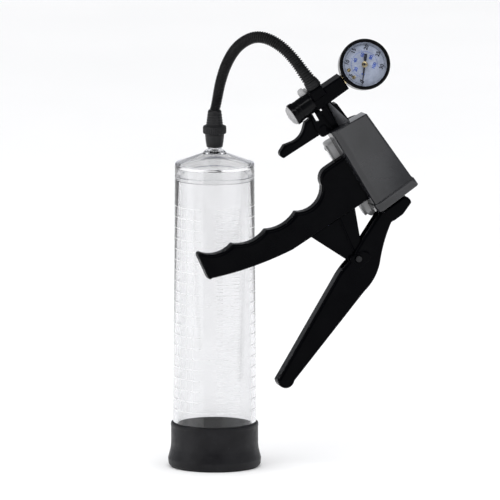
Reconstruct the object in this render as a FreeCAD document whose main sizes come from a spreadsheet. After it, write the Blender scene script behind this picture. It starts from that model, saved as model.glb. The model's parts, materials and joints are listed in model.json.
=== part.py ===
"""Hand vacuum pump: a clear graduated chamber, a ribbed hose and a pistol-grip pump with a dial gauge.

Lengths are in millimetres.
The chamber stands on its collar with its axis on Z and its foot at the origin.
The pump has axes of its own: X towards the gauge, Z up its barrel towards the head,
and Y from the dial's side to the back.
"""

import FreeCAD, Part
import Sketcher
import math
import os

SIZES = {
    # chamber
    "collar_height": 35.0,
    "collar_top_radius": 33.9,
    "collar_flare_radius": 36.3,
    "collar_foot_radius": 34.0,
    "collar_ledge": 6.0,
    "mouth_radius": 27.0,
    "tube_foot_radius": 32.7,
    "tube_shoulder_radius": 31.1,
    "tube_wall": 3.6,
    "tube_shoulder_height": 227.0,
    "spigot_radius": 29.3,
    "spigot_top_height": 236.0,
    "rim_height": 239.0,
    "rim_radius": 31.0,
    "cap_shoulder_radius": 7.4,
    "cap_shoulder_height": 249.5,
    "cap_neck_radius": 5.6,
    "cap_neck_height": 251.0,
    "nipple_radius": 3.6,
    "nipple_top_height": 265.8,
    "air_bore_radius": 1.5,
    "o_ring_height": 256.0,
    "o_ring_radius": 3.23,
    "o_ring_section": 0.41,
    # coupling
    "socket_foot_height": 252.2,
    "socket_bore_radius": 3.66,
    "socket_sleeve_radius": 4.8,
    "socket_shoulder_height": 266.3,
    "socket_head_radius": 6.9,
    "socket_head_height": 269.0,
    "socket_taper_radius": 5.4,
    "socket_taper_height": 279.3,
    "socket_top_height": 281.3,
    "sleeve_gap": 0.3,
    "sleeve_foot_radius": 6.0,
    "sleeve_neck_radius": 7.5,
    "sleeve_neck_height": 262.6,
    "sleeve_flange_radius": 9.1,
    "spring_wire": 0.5,
    "hose_diameter": 8.4,
    # pump head
    "crossbar_half": 7.2,
    "head_depth": 14.0,
    "axis_offset": 5.3,
    "valve_radius": 8.2,
    "valve_bore_radius": 5.0,
    "valve_end": 24.5,
    "valve_cap_radius": 8.7,
    "valve_cap_length": 2.2,
    "plunger_gap": 0.05,
    "trigger_pivot_x": -12.5,
    "trigger_pivot_z": -21.5,
    "trigger_thickness": 8.2,
    "cheek_gap": 9.0,
    "cheek_thickness": 2.0,
    "small_pin_radius": 1.5,
    # pump body
    "head_plate_top": -28.5,
    "barrel_top": -33.0,
    "barrel_foot": -93.0,
    "barrel_radius": 13.6,
    "bore_radius": 11.8,
    "piston_top": -36.0,
    "piston_height": 9.0,
    "piston_gap": 0.06,
    "rod_radius": 2.7,
    "rod_gap": 0.08,
    "rod_eye_height": -108.5,
    "rod_eye_radius": 4.6,
    "rod_eye_thickness": 6.0,
    "cover_top": -26.5,
    "cover_foot": -100.0,
    "cover_half_top": 15.9,
    "cover_half_foot": 18.6,
    "cover_half_depth": 17.0,
    "cover_wall": 1.8,
    "flange_height": 8.0,
    "flange_step": 1.2,
    "cover_corner": 5.5,
    "inner_corner": 3.7,
    "parting_depth": 2.0,
    "rear_top": -36.5,
    "rear_overhang": 6.5,
    # handles
    "grip_thickness": 16.0,
    "web_thickness": 8.0,
    "fork_gap": 8.8,
    "lever_thickness": 16.0,
    "pivot_x": -45.7,
    "pivot_z": -124.0,
    "pivot_radius": 2.4,
    "groove_peak": 1.0,
    # gauge
    "gauge_x": 42.0,
    "gauge_radius": 20.0,
    "gauge_half_depth": 12.0,
    "gauge_wall": 1.2,
    "dial_radius": 17.6,
    "dial_height": 7.0,
    "stem_radius": 4.0,
}

# where the pump hangs beside the chamber
PUMP_ORIGIN = FreeCAD.Vector(82.1, -24.0, 296.2)
PUMP_TILT = 33.0
PUMP_YAW = 15.0
GAUGE_TURN = 16.0
POINTER_ANGLE = -132.0

# the hose's middle line, from the coupling to the head, as a list of hand-chosen points
HOSE_ROUTE = [
    (0.0, 0.0, 281.3),
    (0.0, 0.0, 292.0),
    (2.6, -1.0, 304.0),
    (7.0, -2.6, 317.0),
    (15.3, -6.0, 330.3),
    (27.8, -11.6, 338.0),
    (42.3, -18.5, 338.5),
    (54.9, -24.5, 331.5),
    (67.9, -27.8, 318.8),
    (74.5, -26.0, 308.3),
]

doc = FreeCAD.newDocument("hand_vacuum_pump")
sheet = doc.addObject("Spreadsheet::Sheet", "sizes")
for row, (alias, size) in enumerate(SIZES.items(), start=1):
    sheet.set(f"A{row}", alias)
    sheet.set(f"B{row}", str(size))
    sheet.setAlias(f"B{row}", alias)
doc.recompute()

yaw = FreeCAD.Rotation(FreeCAD.Vector(0, 0, 1), PUMP_YAW)
tilt = FreeCAD.Rotation(FreeCAD.Vector(0, 1, 0), -PUMP_TILT)
PUMP = FreeCAD.Placement(PUMP_ORIGIN, yaw * tilt)
CHAMBER = FreeCAD.Placement()
GAUGE = PUMP * FreeCAD.Placement(
    FreeCAD.Vector(SIZES["gauge_x"], 0, 0),
    FreeCAD.Rotation(FreeCAD.Vector(1, 0, 0), 90 - GAUGE_TURN),
)
nodes = []


def number(text):
    """The value of a sum such as "tube_foot_radius - tube_wall", with each name read from the sheet."""
    total, sign = 0.0, 1.0
    for word in str(text).split():
        if word in "+-":
            sign = 1.0 if word == "+" else -1.0
        else:
            total += sign * (float(sheet.get(word)) if word in SIZES else float(word))
            sign = 1.0
    return total


def formula(text):
    """The same sum as an expression on the sheet's cells."""
    return " ".join(f"sizes.{word}" if word in SIZES else word for word in str(text).split())


def part_body(label, place):
    body = doc.addObject("PartDesign::Body", label)
    body.Label = label
    body.Placement = place
    nodes.append(body)
    return body


def sketch_on(body, name, role, lift="0"):
    """A sketch on one of the body's own origin planes, raised along the plane's normal."""
    sketch = body.newObject("Sketcher::SketchObject", f"{body.Name}_{name}")
    plane = [f for f in body.Origin.OriginFeatures if f.Role == role][0]
    sketch.AttachmentSupport = (plane, "")
    sketch.MapMode = "FlatFace"
    sketch.AttachmentOffset = FreeCAD.Placement(FreeCAD.Vector(0, 0, number(lift)), FreeCAD.Rotation())
    if lift != "0":
        sketch.setExpression("AttachmentOffset.Base.z", formula(lift))
    return sketch


def outline(sketch, points):
    """A closed outline of points (x, y), reached by a line, or (x, y, through_x, through_y), by an arc."""
    flat = [FreeCAD.Vector(number(p[0]), number(p[1]), 0) for p in points]
    ends = []
    for i, point in enumerate(points):
        start, end = flat[i - 1], flat[i]
        ends.append(2)
        if len(point) == 2:
            sketch.addGeometry(Part.LineSegment(start, end))
            continue
        through = FreeCAD.Vector(number(point[2]), number(point[3]), 0)
        if (through - start).cross(end - through).z < 0:
            start, end = end, start
            ends[-1] = 1
        sketch.addGeometry(Part.Arc(start, through, end))
    for i, point in enumerate(points):
        after = (i + 1) % len(points)
        sketch.addConstraint(Sketcher.Constraint("Coincident", i, ends[i], after, 3 - ends[after]))
        for kind, text in (("DistanceX", point[0]), ("DistanceY", point[1])):
            index = sketch.addConstraint(Sketcher.Constraint(kind, -1, 1, i, ends[i], number(text)))
            if any(word in SIZES for word in str(text).split()):
                sketch.setExpression(f"Constraints[{index}]", formula(text))


def circle(sketch, radius, x="0", y="0"):
    centre = FreeCAD.Vector(number(x), number(y), 0)
    index = sketch.addGeometry(Part.Circle(centre, FreeCAD.Vector(0, 0, 1), number(radius)))
    size = sketch.addConstraint(Sketcher.Constraint("Radius", index, number(radius)))
    sketch.setExpression(f"Constraints[{size}]", formula(radius))


def turned(label, place, points):
    """A body turned about its Z axis from an outline in radius and height."""
    body = part_body(label, place)
    profile = sketch_on(body, "profile", "XZ_Plane")
    outline(profile, points)
    turn = body.newObject("PartDesign::Revolution", f"{label}_turn")
    turn.Profile = profile
    turn.ReferenceAxis = (profile, ["V_Axis"])
    turn.Angle = 360
    return body


def padded(body, sketch, length, name="pad"):
    """A pad to both sides of the sketch's plane."""
    pad = body.newObject("PartDesign::Pad", f"{body.Name}_{name}")
    pad.Profile = sketch
    pad.setExpression("Length", formula(length))
    pad.Midplane = True
    return pad


def pocketed(body, sketch, length, name="pocket"):
    """A pocket to both sides of the sketch's plane."""
    pocket = body.newObject("PartDesign::Pocket", f"{body.Name}_{name}")
    pocket.Profile = sketch
    pocket.setExpression("Length", formula(length))
    pocket.Midplane = True
    return pocket


def filleted(body, feature, radius, chosen, name="fillet"):
    """Rounds the edges of the feature that chosen(edge) picks."""
    doc.recompute()
    names = [f"Edge{i + 1}" for i, edge in enumerate(feature.Shape.Edges) if chosen(edge)]
    fillet = body.newObject("PartDesign::Fillet", f"{body.Name}_{name}")
    fillet.Base = (feature, names)
    fillet.setExpression("Radius", formula(radius))
    return fillet


def loft(body, kind, name, lower, upper):
    feature = body.newObject(f"PartDesign::{kind}", f"{body.Name}_{name}")
    feature.Profile = lower
    feature.Sections = [upper]
    return feature


def plain(kind, label, place, **sizes):
    """A Part primitive whose sizes are sums of the sheet's cells."""
    solid = doc.addObject(f"Part::{kind}", label)
    solid.Label = label
    for name, text in sizes.items():
        solid.setExpression(name, formula(text))
    solid.Placement = place
    return solid


def joined(kind, label, *solids):
    """A Part boolean of whole solids: Cut, Fuse of two, or MultiFuse."""
    whole = doc.addObject(f"Part::{kind}", label)
    whole.Label = label
    if kind in ("MultiFuse", "Compound"):
        setattr(whole, "Shapes" if kind == "MultiFuse" else "Links", list(solids))
    else:
        whole.Base, whole.Tool = solids
    nodes.append(whole)
    return whole


def node(solid):
    nodes.append(solid)
    return solid


def shaped(label, shape, place):
    """A feature for a shape that no primitive gives, such as a coil."""
    feature = doc.addObject("Part::Feature", label)
    feature.Label = label
    feature.Shape = shape
    feature.Placement = place
    nodes.append(feature)
    return feature


def at(place, x, y, z, turn=FreeCAD.Rotation()):
    return place * FreeCAD.Placement(FreeCAD.Vector(number(x), number(y), number(z)), turn)


ALONG_X = FreeCAD.Rotation(FreeCAD.Vector(0, 1, 0), 90)
ALONG_Y = FreeCAD.Rotation(FreeCAD.Vector(1, 0, 0), -90)


def coil_spring(label, place, radius, wire, height, turns):
    """A round-wire compression spring with its foot at the placement's origin."""
    rise = height - 2 * wire
    helix = Part.makeHelix(rise / turns, rise, radius)
    helix.translate(FreeCAD.Vector(0, 0, wire))
    section = Part.Wire(Part.makeCircle(wire, FreeCAD.Vector(radius, 0, wire), FreeCAD.Vector(0, 1, 0)))
    return shaped(label, Part.Wire(helix).makePipeShell([section], True, True), place)


# ---- chamber ----


def base_collar():
    turned("base_collar", CHAMBER, [
        ("mouth_radius", "0"),
        ("collar_foot_radius", "0"),
        ("collar_flare_radius", "6.7", "collar_flare_radius - 0.6", "2.2"),
        ("collar_top_radius", "18"),
        ("collar_top_radius", "collar_height - 0.8"),
        ("collar_top_radius - 0.8", "collar_height"),
        ("tube_foot_radius - 0.2", "collar_height"),
        ("tube_foot_radius", "collar_ledge"),
        ("mouth_radius", "collar_ledge"),
    ])


def chamber_tube():
    turned("chamber_tube", CHAMBER, [
        ("tube_foot_radius - tube_wall", "collar_ledge"),
        ("tube_foot_radius", "collar_ledge"),
        ("tube_foot_radius - 0.2", "collar_height"),
        ("tube_shoulder_radius", "tube_shoulder_height"),
        ("spigot_radius", "tube_shoulder_height"),
        ("spigot_radius", "spigot_top_height"),
        ("tube_shoulder_radius - tube_wall", "spigot_top_height"),
    ])


def chamber_cap():
    groove_half = "0.45"
    turned("chamber_cap", CHAMBER, [
        ("air_bore_radius", "cap_shoulder_height - 3"),
        ("spigot_radius", "spigot_top_height"),
        ("spigot_radius", "tube_shoulder_height"),
        ("tube_shoulder_radius", "tube_shoulder_height"),
        ("rim_radius", "rim_height - 0.8"),
        ("rim_radius - 0.8", "rim_height"),
        ("cap_shoulder_radius", "cap_shoulder_height"),
        ("cap_neck_radius", "cap_shoulder_height"),
        ("cap_neck_radius", "cap_neck_height"),
        ("nipple_radius", "cap_neck_height"),
        ("nipple_radius", f"o_ring_height - {groove_half}"),
        ("o_ring_radius - o_ring_section", f"o_ring_height - {groove_half}"),
        ("o_ring_radius - o_ring_section", f"o_ring_height + {groove_half}"),
        ("nipple_radius", f"o_ring_height + {groove_half}"),
        ("nipple_radius", "nipple_top_height - 0.6"),
        ("nipple_radius - 0.6", "nipple_top_height"),
        ("air_bore_radius", "nipple_top_height"),
    ])


def nipple_o_ring():
    node(plain("Torus", "nipple_o_ring", at(CHAMBER, "0", "0", "o_ring_height"),
               Radius1="o_ring_radius", Radius2="o_ring_section"))


# ---- coupling and hose ----


def coupling_socket():
    turned("coupling_socket", CHAMBER, [
        ("socket_bore_radius", "socket_foot_height"),
        ("socket_sleeve_radius", "socket_foot_height"),
        ("socket_sleeve_radius", "socket_shoulder_height"),
        ("socket_head_radius", "socket_shoulder_height"),
        ("socket_head_radius", "socket_head_height"),
        ("socket_taper_radius", "socket_taper_height"),
        ("socket_taper_radius - 0.9", "socket_top_height"),
        ("air_bore_radius", "socket_top_height"),
        ("air_bore_radius", "socket_shoulder_height + 1"),
        ("socket_bore_radius", "socket_shoulder_height + 0.3"),
    ])


def coupling_collar():
    turned("coupling_collar", CHAMBER, [
        ("socket_sleeve_radius + sleeve_gap", "socket_foot_height - 0.4"),
        ("sleeve_foot_radius", "socket_foot_height - 0.4"),
        ("sleeve_neck_radius", "sleeve_neck_height"),
        ("sleeve_flange_radius", "sleeve_neck_height + 0.4"),
        ("sleeve_flange_radius", "socket_head_height - 0.5"),
        ("sleeve_flange_radius - 0.5", "socket_head_height"),
        ("socket_head_radius + sleeve_gap", "socket_head_height"),
        ("socket_head_radius + sleeve_gap", "sleeve_neck_height + 0.4"),
        ("socket_sleeve_radius + sleeve_gap", "sleeve_neck_height + 0.4"),
    ])


def coupling_spring():
    foot = number("sleeve_neck_height + 0.4") + 0.02
    height = number("socket_shoulder_height") - foot - 0.02
    radius = number("socket_sleeve_radius") + 1.2
    wire = number("spring_wire") / 2
    coil_spring("coupling_spring", at(CHAMBER, "0", "0", str(foot)), radius, wire, height, 2.5)


def rounded_route(points):
    """Straight runs joined by tangent arcs, each arc as large as its two shorter runs allow."""
    places = [FreeCAD.Vector(*p) for p in points]
    edges, start, radii = [], places[0], []
    for before, corner, after in zip(places, places[1:], places[2:]):
        back, ahead = before - corner, after - corner
        turn = math.pi - back.getAngle(ahead)
        reach = 0.45 * min(back.Length, ahead.Length)
        radii.append(reach / math.tan(turn / 2))
        back.normalize()
        ahead.normalize()
        first, last = corner + back * reach, corner + ahead * reach
        middle = (back + ahead).normalize()
        depth = radii[-1] / math.cos(turn / 2) - radii[-1]
        edges.append(Part.LineSegment(start, first).toShape())
        edges.append(Part.Arc(first, corner + middle * depth, last).toShape())
        start = last
    edges.append(Part.LineSegment(start, places[-1]).toShape())
    return Part.Wire(edges), radii


def hose():
    path, radii = rounded_route(HOSE_ROUTE)
    start = FreeCAD.Vector(*HOSE_ROUTE[0])
    radius = number("hose_diameter") / 2
    ring = Part.makeCircle(radius, start, FreeCAD.Vector(*HOSE_ROUTE[1]) - start)
    tube = path.makePipeShell([Part.Wire(ring)], True, False)
    expected = math.pi * radius ** 2 * path.Length
    print("hose radii", [round(r, 1) for r in radii], "length", round(path.Length, 1))
    print("hose volume", round(tube.Volume), "of", round(expected))
    shaped("hose", tube, FreeCAD.Placement())


def hose_end_ferrule():
    body = turned("hose_end_ferrule", at(PUMP, "0", "0", "crossbar_half"), [
        ("2.5", "0"),
        ("5.6", "0"),
        ("5.6", "6.4"),
        ("5.0", "7.2"),
        ("2.5", "7.2"),
    ])
    return body


# ---- pump head ----


def manifold():
    """The cross block with the gauge arm, the neck down to the barrel head and the lug beside it."""
    body = part_body("manifold", PUMP)
    front = sketch_on(body, "outline", "XZ_Plane")
    outline(front, [
        ("-8", "crossbar_half"),
        ("-8", "0 - crossbar_half"),
        ("-2.2", "0 - crossbar_half"),
        ("-2.2", "head_plate_top"),
        ("9.4", "head_plate_top"),
        ("15", "head_plate_top"),
        ("15", "-14"),
        ("12.4", "-10.6"),
        ("9.4", "0 - crossbar_half"),
        ("gauge_x - gauge_radius - 0.2", "0 - crossbar_half"),
        ("gauge_x - gauge_radius - 0.2", "crossbar_half"),
    ])
    block = padded(body, front, "head_depth")
    half_depth = number("head_depth") / 2
    rounded = filleted(body, block, "1.2", lambda edge: abs(abs(edge.BoundBox.YMax) - half_depth) < 0.01
                       and edge.BoundBox.YLength < 0.01 and edge.Length > 4)
    rounded.Label = "manifold_edges"
    passage = sketch_on(body, "passage", "YZ_Plane")
    circle(passage, "stem_radius - 0.6")
    pocket = pocketed(body, passage, "100", "passage")
    pocket.Label = "manifold_passage"


def side_plug():
    turned("side_plug", at(PUMP, "-7.4", "head_depth - 7", "7.4", ALONG_Y), [
        ("0", "0"),
        ("3", "0"),
        ("3", "1.6"),
        ("5", "1.6"),
        ("5.4", "2.2"),
        ("5.4", "7"),
        ("4.8", "7.6"),
        ("0", "7.6"),
    ])


def valve_parts():
    left = FreeCAD.Rotation(FreeCAD.Vector(0, 1, 0), -90)
    body = turned("valve_body", at(PUMP, "-8", "0", "0", left), [
        ("valve_bore_radius", "0"),
        ("valve_radius", "0"),
        ("valve_radius", "valve_end - 8"),
        ("valve_bore_radius", "valve_end - 8"),
    ])
    window = sketch_on(body, "window", "YZ_Plane", "0 - valve_radius")
    outline(window, [("-3.6", "2.4"), ("-3.6", "10.4"), ("3.6", "10.4"), ("3.6", "2.4")])
    pocketed(body, window, "11")
    turned("valve_end_cap", at(PUMP, "0 - valve_end", "0", "0", left), [
        ("0", "0"),
        ("valve_cap_radius", "0"),
        ("valve_cap_radius", "valve_cap_length - 0.5"),
        ("valve_cap_radius - 0.5", "valve_cap_length"),
        ("0", "valve_cap_length"),
    ])
    turned("valve_plunger", at(PUMP, "-8.6", "0", "0", left), [
        ("0", "0"),
        ("valve_bore_radius - plunger_gap", "0"),
        ("valve_bore_radius - plunger_gap", "2.6"),
        ("2.4", "2.6"),
        ("2.4", "8.0"),
        ("valve_bore_radius - plunger_gap", "8.0"),
        ("valve_bore_radius - plunger_gap", "9.8"),
        ("0", "9.8"),
    ])
    coil_spring("valve_spring", at(PUMP, "-18.42", "0", "0", left), 3.4, 0.45, 6.06, 3)


def trigger_bracket():
    body = part_body("trigger_bracket", PUMP)
    side = sketch_on(body, "side", "XZ_Plane")
    outline(side, [
        ("-2.2", "0 - crossbar_half"),
        ("-2.2", "-25.8"),
        ("trigger_pivot_x", "trigger_pivot_z - 4.3"),
        ("trigger_pivot_x - 4.3", "trigger_pivot_z", "-15.54", "-24.54"),
        ("-16.8", "-9.4"),
        ("-8", "0 - crossbar_half"),
    ])
    whole = padded(body, side, "cheek_gap + cheek_thickness + cheek_thickness")
    slot = sketch_on(body, "slot", "XZ_Plane")
    outline(slot, [("-30", "-40"), ("-30", "0"), ("-3.8", "0"), ("-3.8", "-40")])
    pocketed(body, slot, "cheek_gap", "slot")
    hole = sketch_on(body, "hole", "XZ_Plane")
    circle(hole, "small_pin_radius", "trigger_pivot_x", "trigger_pivot_z")
    pocketed(body, hole, "30", "hole")
    return whole


def release_trigger():
    """A curved finger lever with a narrow tooth that reaches into the plunger's groove."""
    body = part_body("release_trigger", PUMP)
    side = sketch_on(body, "side", "XZ_Plane")
    outline(side, [
        ("-50.6", "-17.6"),
        ("-51.6", "-22.6", "-52.2", "-20.2"),
        ("-49.6", "-23.6", "-50.9", "-23.5"),
        ("-14.4", "-25.1"),
        ("-8.7", "-20.6", "-9.8", "-24.3"),
        ("-10.8", "-9.8"),
        ("-21.4", "-9.8"),
        ("-26.4", "-14.2"),
        ("-38.6", "-16.9", "-31.8", "-16.9"),
        ("-45.2", "-15.2"),
    ])
    padded(body, side, "trigger_thickness")
    tooth = sketch_on(body, "tooth", "XZ_Plane")
    outline(tooth, [("-15.8", "-10"), ("-15.8", "-3"), ("-12.2", "-3"), ("-12.2", "-10")])
    padded(body, tooth, "5.6", "tooth_pad")
    hole = sketch_on(body, "hole", "XZ_Plane")
    circle(hole, "small_pin_radius + plunger_gap", "trigger_pivot_x", "trigger_pivot_z")
    pocketed(body, hole, "30", "hole_pocket")


def trigger_pin():
    node(plain("Cylinder", "trigger_pin", at(PUMP, "trigger_pivot_x", "-6.9", "trigger_pivot_z", ALONG_Y),
               Radius="small_pin_radius", Height="13.8"))


# ---- pump body ----


def on_axis(z="0", turn=FreeCAD.Rotation()):
    """A place on the barrel's axis."""
    return at(PUMP, "axis_offset", "0", z, turn)


def barrel_parts():
    turned("barrel", on_axis(), [
        ("bore_radius", "barrel_foot"),
        ("barrel_radius", "barrel_foot"),
        ("barrel_radius", "barrel_top"),
        ("bore_radius", "barrel_top"),
    ])
    turned("barrel_head", on_axis(), [
        ("air_bore_radius", "piston_top + 1.2"),
        ("bore_radius", "piston_top + 1.2"),
        ("bore_radius", "barrel_top"),
        ("barrel_radius", "barrel_top"),
        ("barrel_radius", "head_plate_top"),
        ("air_bore_radius", "head_plate_top"),
    ])
    turned("barrel_end_plug", on_axis(), [
        ("rod_radius + rod_gap", "barrel_foot - 3.2"),
        ("barrel_radius", "barrel_foot - 3.2"),
        ("barrel_radius", "barrel_foot"),
        ("bore_radius", "barrel_foot"),
        ("bore_radius", "barrel_foot + 4"),
        ("rod_radius + rod_gap", "barrel_foot + 4"),
    ])
    turned("inlet_check_valve", on_axis("piston_top + 0.2"), [
        ("0", "0.1"),
        ("3.4", "0.1"),
        ("3.6", "0.9"),
        ("air_bore_radius - 0.4", "0.9"),
        ("air_bore_radius - 0.4", "5"),
        ("0", "5"),
    ])


def piston_parts():
    middle = "piston_top - 4.5"
    turned("piston", on_axis(), [
        ("0", "piston_top - piston_height"),
        ("bore_radius - piston_gap", "piston_top - piston_height"),
        ("bore_radius - piston_gap", f"{middle} - 1.3"),
        ("bore_radius - 2", f"{middle} - 1.3"),
        ("bore_radius - 2", f"{middle} + 1.3"),
        ("bore_radius - piston_gap", f"{middle} + 1.3"),
        ("bore_radius - piston_gap", "piston_top - 0.6"),
        ("4", "piston_top - 0.6"),
        ("4", "piston_top - 2"),
        ("0", "piston_top - 2"),
    ])
    node(plain("Torus", "piston_seal", on_axis(middle), Radius1="bore_radius - 0.98", Radius2="0.95"))
    turned("exhaust_check_valve", on_axis("piston_top"), [
        ("0", "-2"),
        ("3.6", "-2"),
        ("3.4", "-1"),
        ("0", "-0.7"),
    ])
    coil_spring("return_spring", on_axis("barrel_foot + 4.05"), 7.4, 0.6,
                number("piston_top - piston_height") - number("barrel_foot + 4.05") - 0.05, 6)


def piston_rod():
    """A round rod with a flat eye for the rod pin."""
    length = "piston_top - piston_height - rod_eye_height - 2"
    shank = plain("Cylinder", "rod_shank", on_axis("rod_eye_height + 2"),
                  Radius="rod_radius", Height=length)
    eye = plain("Cylinder", "rod_eye", at(PUMP, "axis_offset", "-3", "rod_eye_height", ALONG_Y),
                Radius="rod_eye_radius", Height="rod_eye_thickness")
    solid = doc.addObject("Part::Fuse", "rod_solid")
    solid.Base, solid.Tool = shank, eye
    hole = plain("Cylinder", "rod_pin_hole", at(PUMP, "axis_offset", "-9", "rod_eye_height", ALONG_Y),
                 Radius="small_pin_radius + 0.5", Height="18")
    joined("Cut", "piston_rod", solid, hole)
    node(plain("Cylinder", "rod_pin", at(PUMP, "axis_offset", "-7.7", "rod_eye_height", ALONG_Y),
               Radius="small_pin_radius + 0.5", Height="15.4"))


def half_section(sketch, half, back, front, left_extra="0", corner="cover_corner"):
    """A D-shaped section: flat where it meets the other cover, round at the two outer corners."""
    swapped = half.replace(" + ", " * ").replace(" - ", " + ").replace(" * ", " - ")
    left = f"axis_offset - {swapped} - {left_extra}"
    right = f"axis_offset + {half}"
    side = 1 if number(back) < number(front) else -1
    turn = "-" if side > 0 else "+"
    c = number(corner)
    k = c * (1 - math.sqrt(0.5))
    inner_y = f"{front} {turn} {corner}"
    middle_y = str(number(front) - side * k)
    outline(sketch, [
        (left, back),
        (left, inner_y),
        (f"{left} + {corner}", front, str(number(left) + k), middle_y),
        (f"{right} - {corner}", front),
        (right, inner_y, str(number(right) - k), middle_y),
        (right, back),
    ])


def cover(label, back, front, top, left_extra, notch):
    """One moulded half of the pump's casing, open below, with a lip round its foot."""
    body = part_body(label, PUMP)
    inward, outward = ("+", "-") if number(front) < number(back) else ("-", "+")
    wall_front = f"{front} {inward} cover_wall"
    open_back = f"{back} {inward} 1"
    step_front = f"{front} {outward} flange_step"
    foot = sketch_on(body, "foot", "XY_Plane", "cover_foot")
    half_section(foot, "cover_half_foot", back, front, left_extra)
    head = sketch_on(body, "head", "XY_Plane", top)
    half_section(head, "cover_half_top", back, front, left_extra)
    loft(body, "AdditiveLoft", "shell", foot, head)
    lip = sketch_on(body, "lip", "XY_Plane", "cover_foot")
    half_section(lip, "cover_half_foot + flange_step", back, step_front, left_extra)
    pad = body.newObject("PartDesign::Pad", f"{label}_lip_pad")
    pad.Profile = lip
    pad.setExpression("Length", formula("flange_height"))
    inner_foot = sketch_on(body, "inner_foot", "XY_Plane", "cover_foot - 1")
    inner = (open_back, wall_front, left_extra, "inner_corner")
    half_section(inner_foot, "cover_half_foot - cover_wall", *inner)
    inner_head = sketch_on(body, "inner_head", "XY_Plane", f"{top} - cover_wall")
    half_section(inner_head, "cover_half_top - cover_wall", *inner)
    loft(body, "SubtractiveLoft", "hollow", inner_foot, inner_head)
    opening = sketch_on(body, "notch", "XY_Plane", top)
    notch(opening)
    pocketed(body, opening, "8")
    return body


def front_cover():
    def neck_notch(sketch):
        outline(sketch, [("-2.5", "-7.3"), ("-2.5", "8"), ("15.3", "8"), ("15.3", "-7.3")])

    cover("front_cover", "parting_depth", "0 - cover_half_depth", "cover_top", "0", neck_notch)


def rear_cover():
    def barrel_notch(sketch):
        circle(sketch, "barrel_radius + 0.3", "axis_offset", "0")

    body = cover("rear_cover", "parting_depth + 0.2", "cover_half_depth", "rear_top", "rear_overhang",
                 barrel_notch)
    root = sketch_on(body, "grip_root", "XZ_Plane")
    outline(root, [("-30", "-48.6"), ("-10", "-48.6"), ("-10", "-90.9"), ("-30", "-90.9")])
    pocketed(body, root, "grip_thickness + 0.6", "grip_notch")


def cover_screws():
    into = FreeCAD.Rotation(FreeCAD.Vector(1, 0, 0), 90)
    screws = []
    for i, (x, z, length) in enumerate(((18.4, -46, 9), (19, -88, 9), (-15, -43, 12), (-16.5, -95, 12))):
        depth = "cover_half_depth" if i < 3 else "cover_half_depth + flange_step"
        surface, top = at(PUMP, x, depth, z, into), at(PUMP, x, f"{depth} + 1.4", z, into)
        screw = doc.addObject("Part::Fuse", f"screw_{i}")
        screw.Base = plain("Cylinder", f"screw_shank_{i}", surface, Radius="1.2", Height=str(length))
        screw.Tool = plain("Cylinder", f"screw_head_{i}", top, Radius="2.6", Height="1.4")
        screws.append(screw)
    joined("Compound", "cover_screws", *screws)


# ---- handles ----


def grip():
    """The fixed handle with four finger grooves, and the thin web that carries the lever's pivot."""
    body = part_body("grip", PUMP)
    side = sketch_on(body, "side", "XZ_Plane")
    outline(side, [
        ("-11.6", "-49.3"),
        ("-28.5", "-48.9"),
        ("-38.8", "-58.5", "-35.9", "-51.8"),
        ("-67.5", "-63.4", "-50", "-67.4"),
        ("-95", "-61.1", "-81", "-65.9"),
        ("-123", "-54.6", "-109", "-62.2"),
        ("-148.4", "-45", "-137", "-54"),
        ("-151.2", "-46.6"),
        ("-152.6", "-67"),
        ("-150", "-69.2", "-152.2", "-68.8"),
        ("-84.5", "-88", "-118", "-80.6"),
        ("-13.1", "-90.1"),
    ])
    handle = padded(body, side, "grip_thickness")
    peaks = (-67.5, -95, -123)
    filleted(body, handle, "groove_peak", lambda edge: edge.BoundBox.XLength < 0.01
             and any(abs(edge.BoundBox.XMax - peak) < 0.05 for peak in peaks))
    web = sketch_on(body, "web", "XZ_Plane")
    outline(web, [
        ("-67", "-86"),
        ("-67", "-88.4"),
        ("-51.9", "-126"),
        ("-39.4", "-122.3", "-44.8", "-130.4"),
        ("-25", "-88.4"),
        ("-25", "-86"),
    ])
    padded(body, web, "web_thickness", "web_pad")
    hole = sketch_on(body, "pivot_hole", "XZ_Plane")
    circle(hole, "pivot_radius", "pivot_x", "pivot_z")
    pocketed(body, hole, "30", "pivot_pocket")


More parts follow.
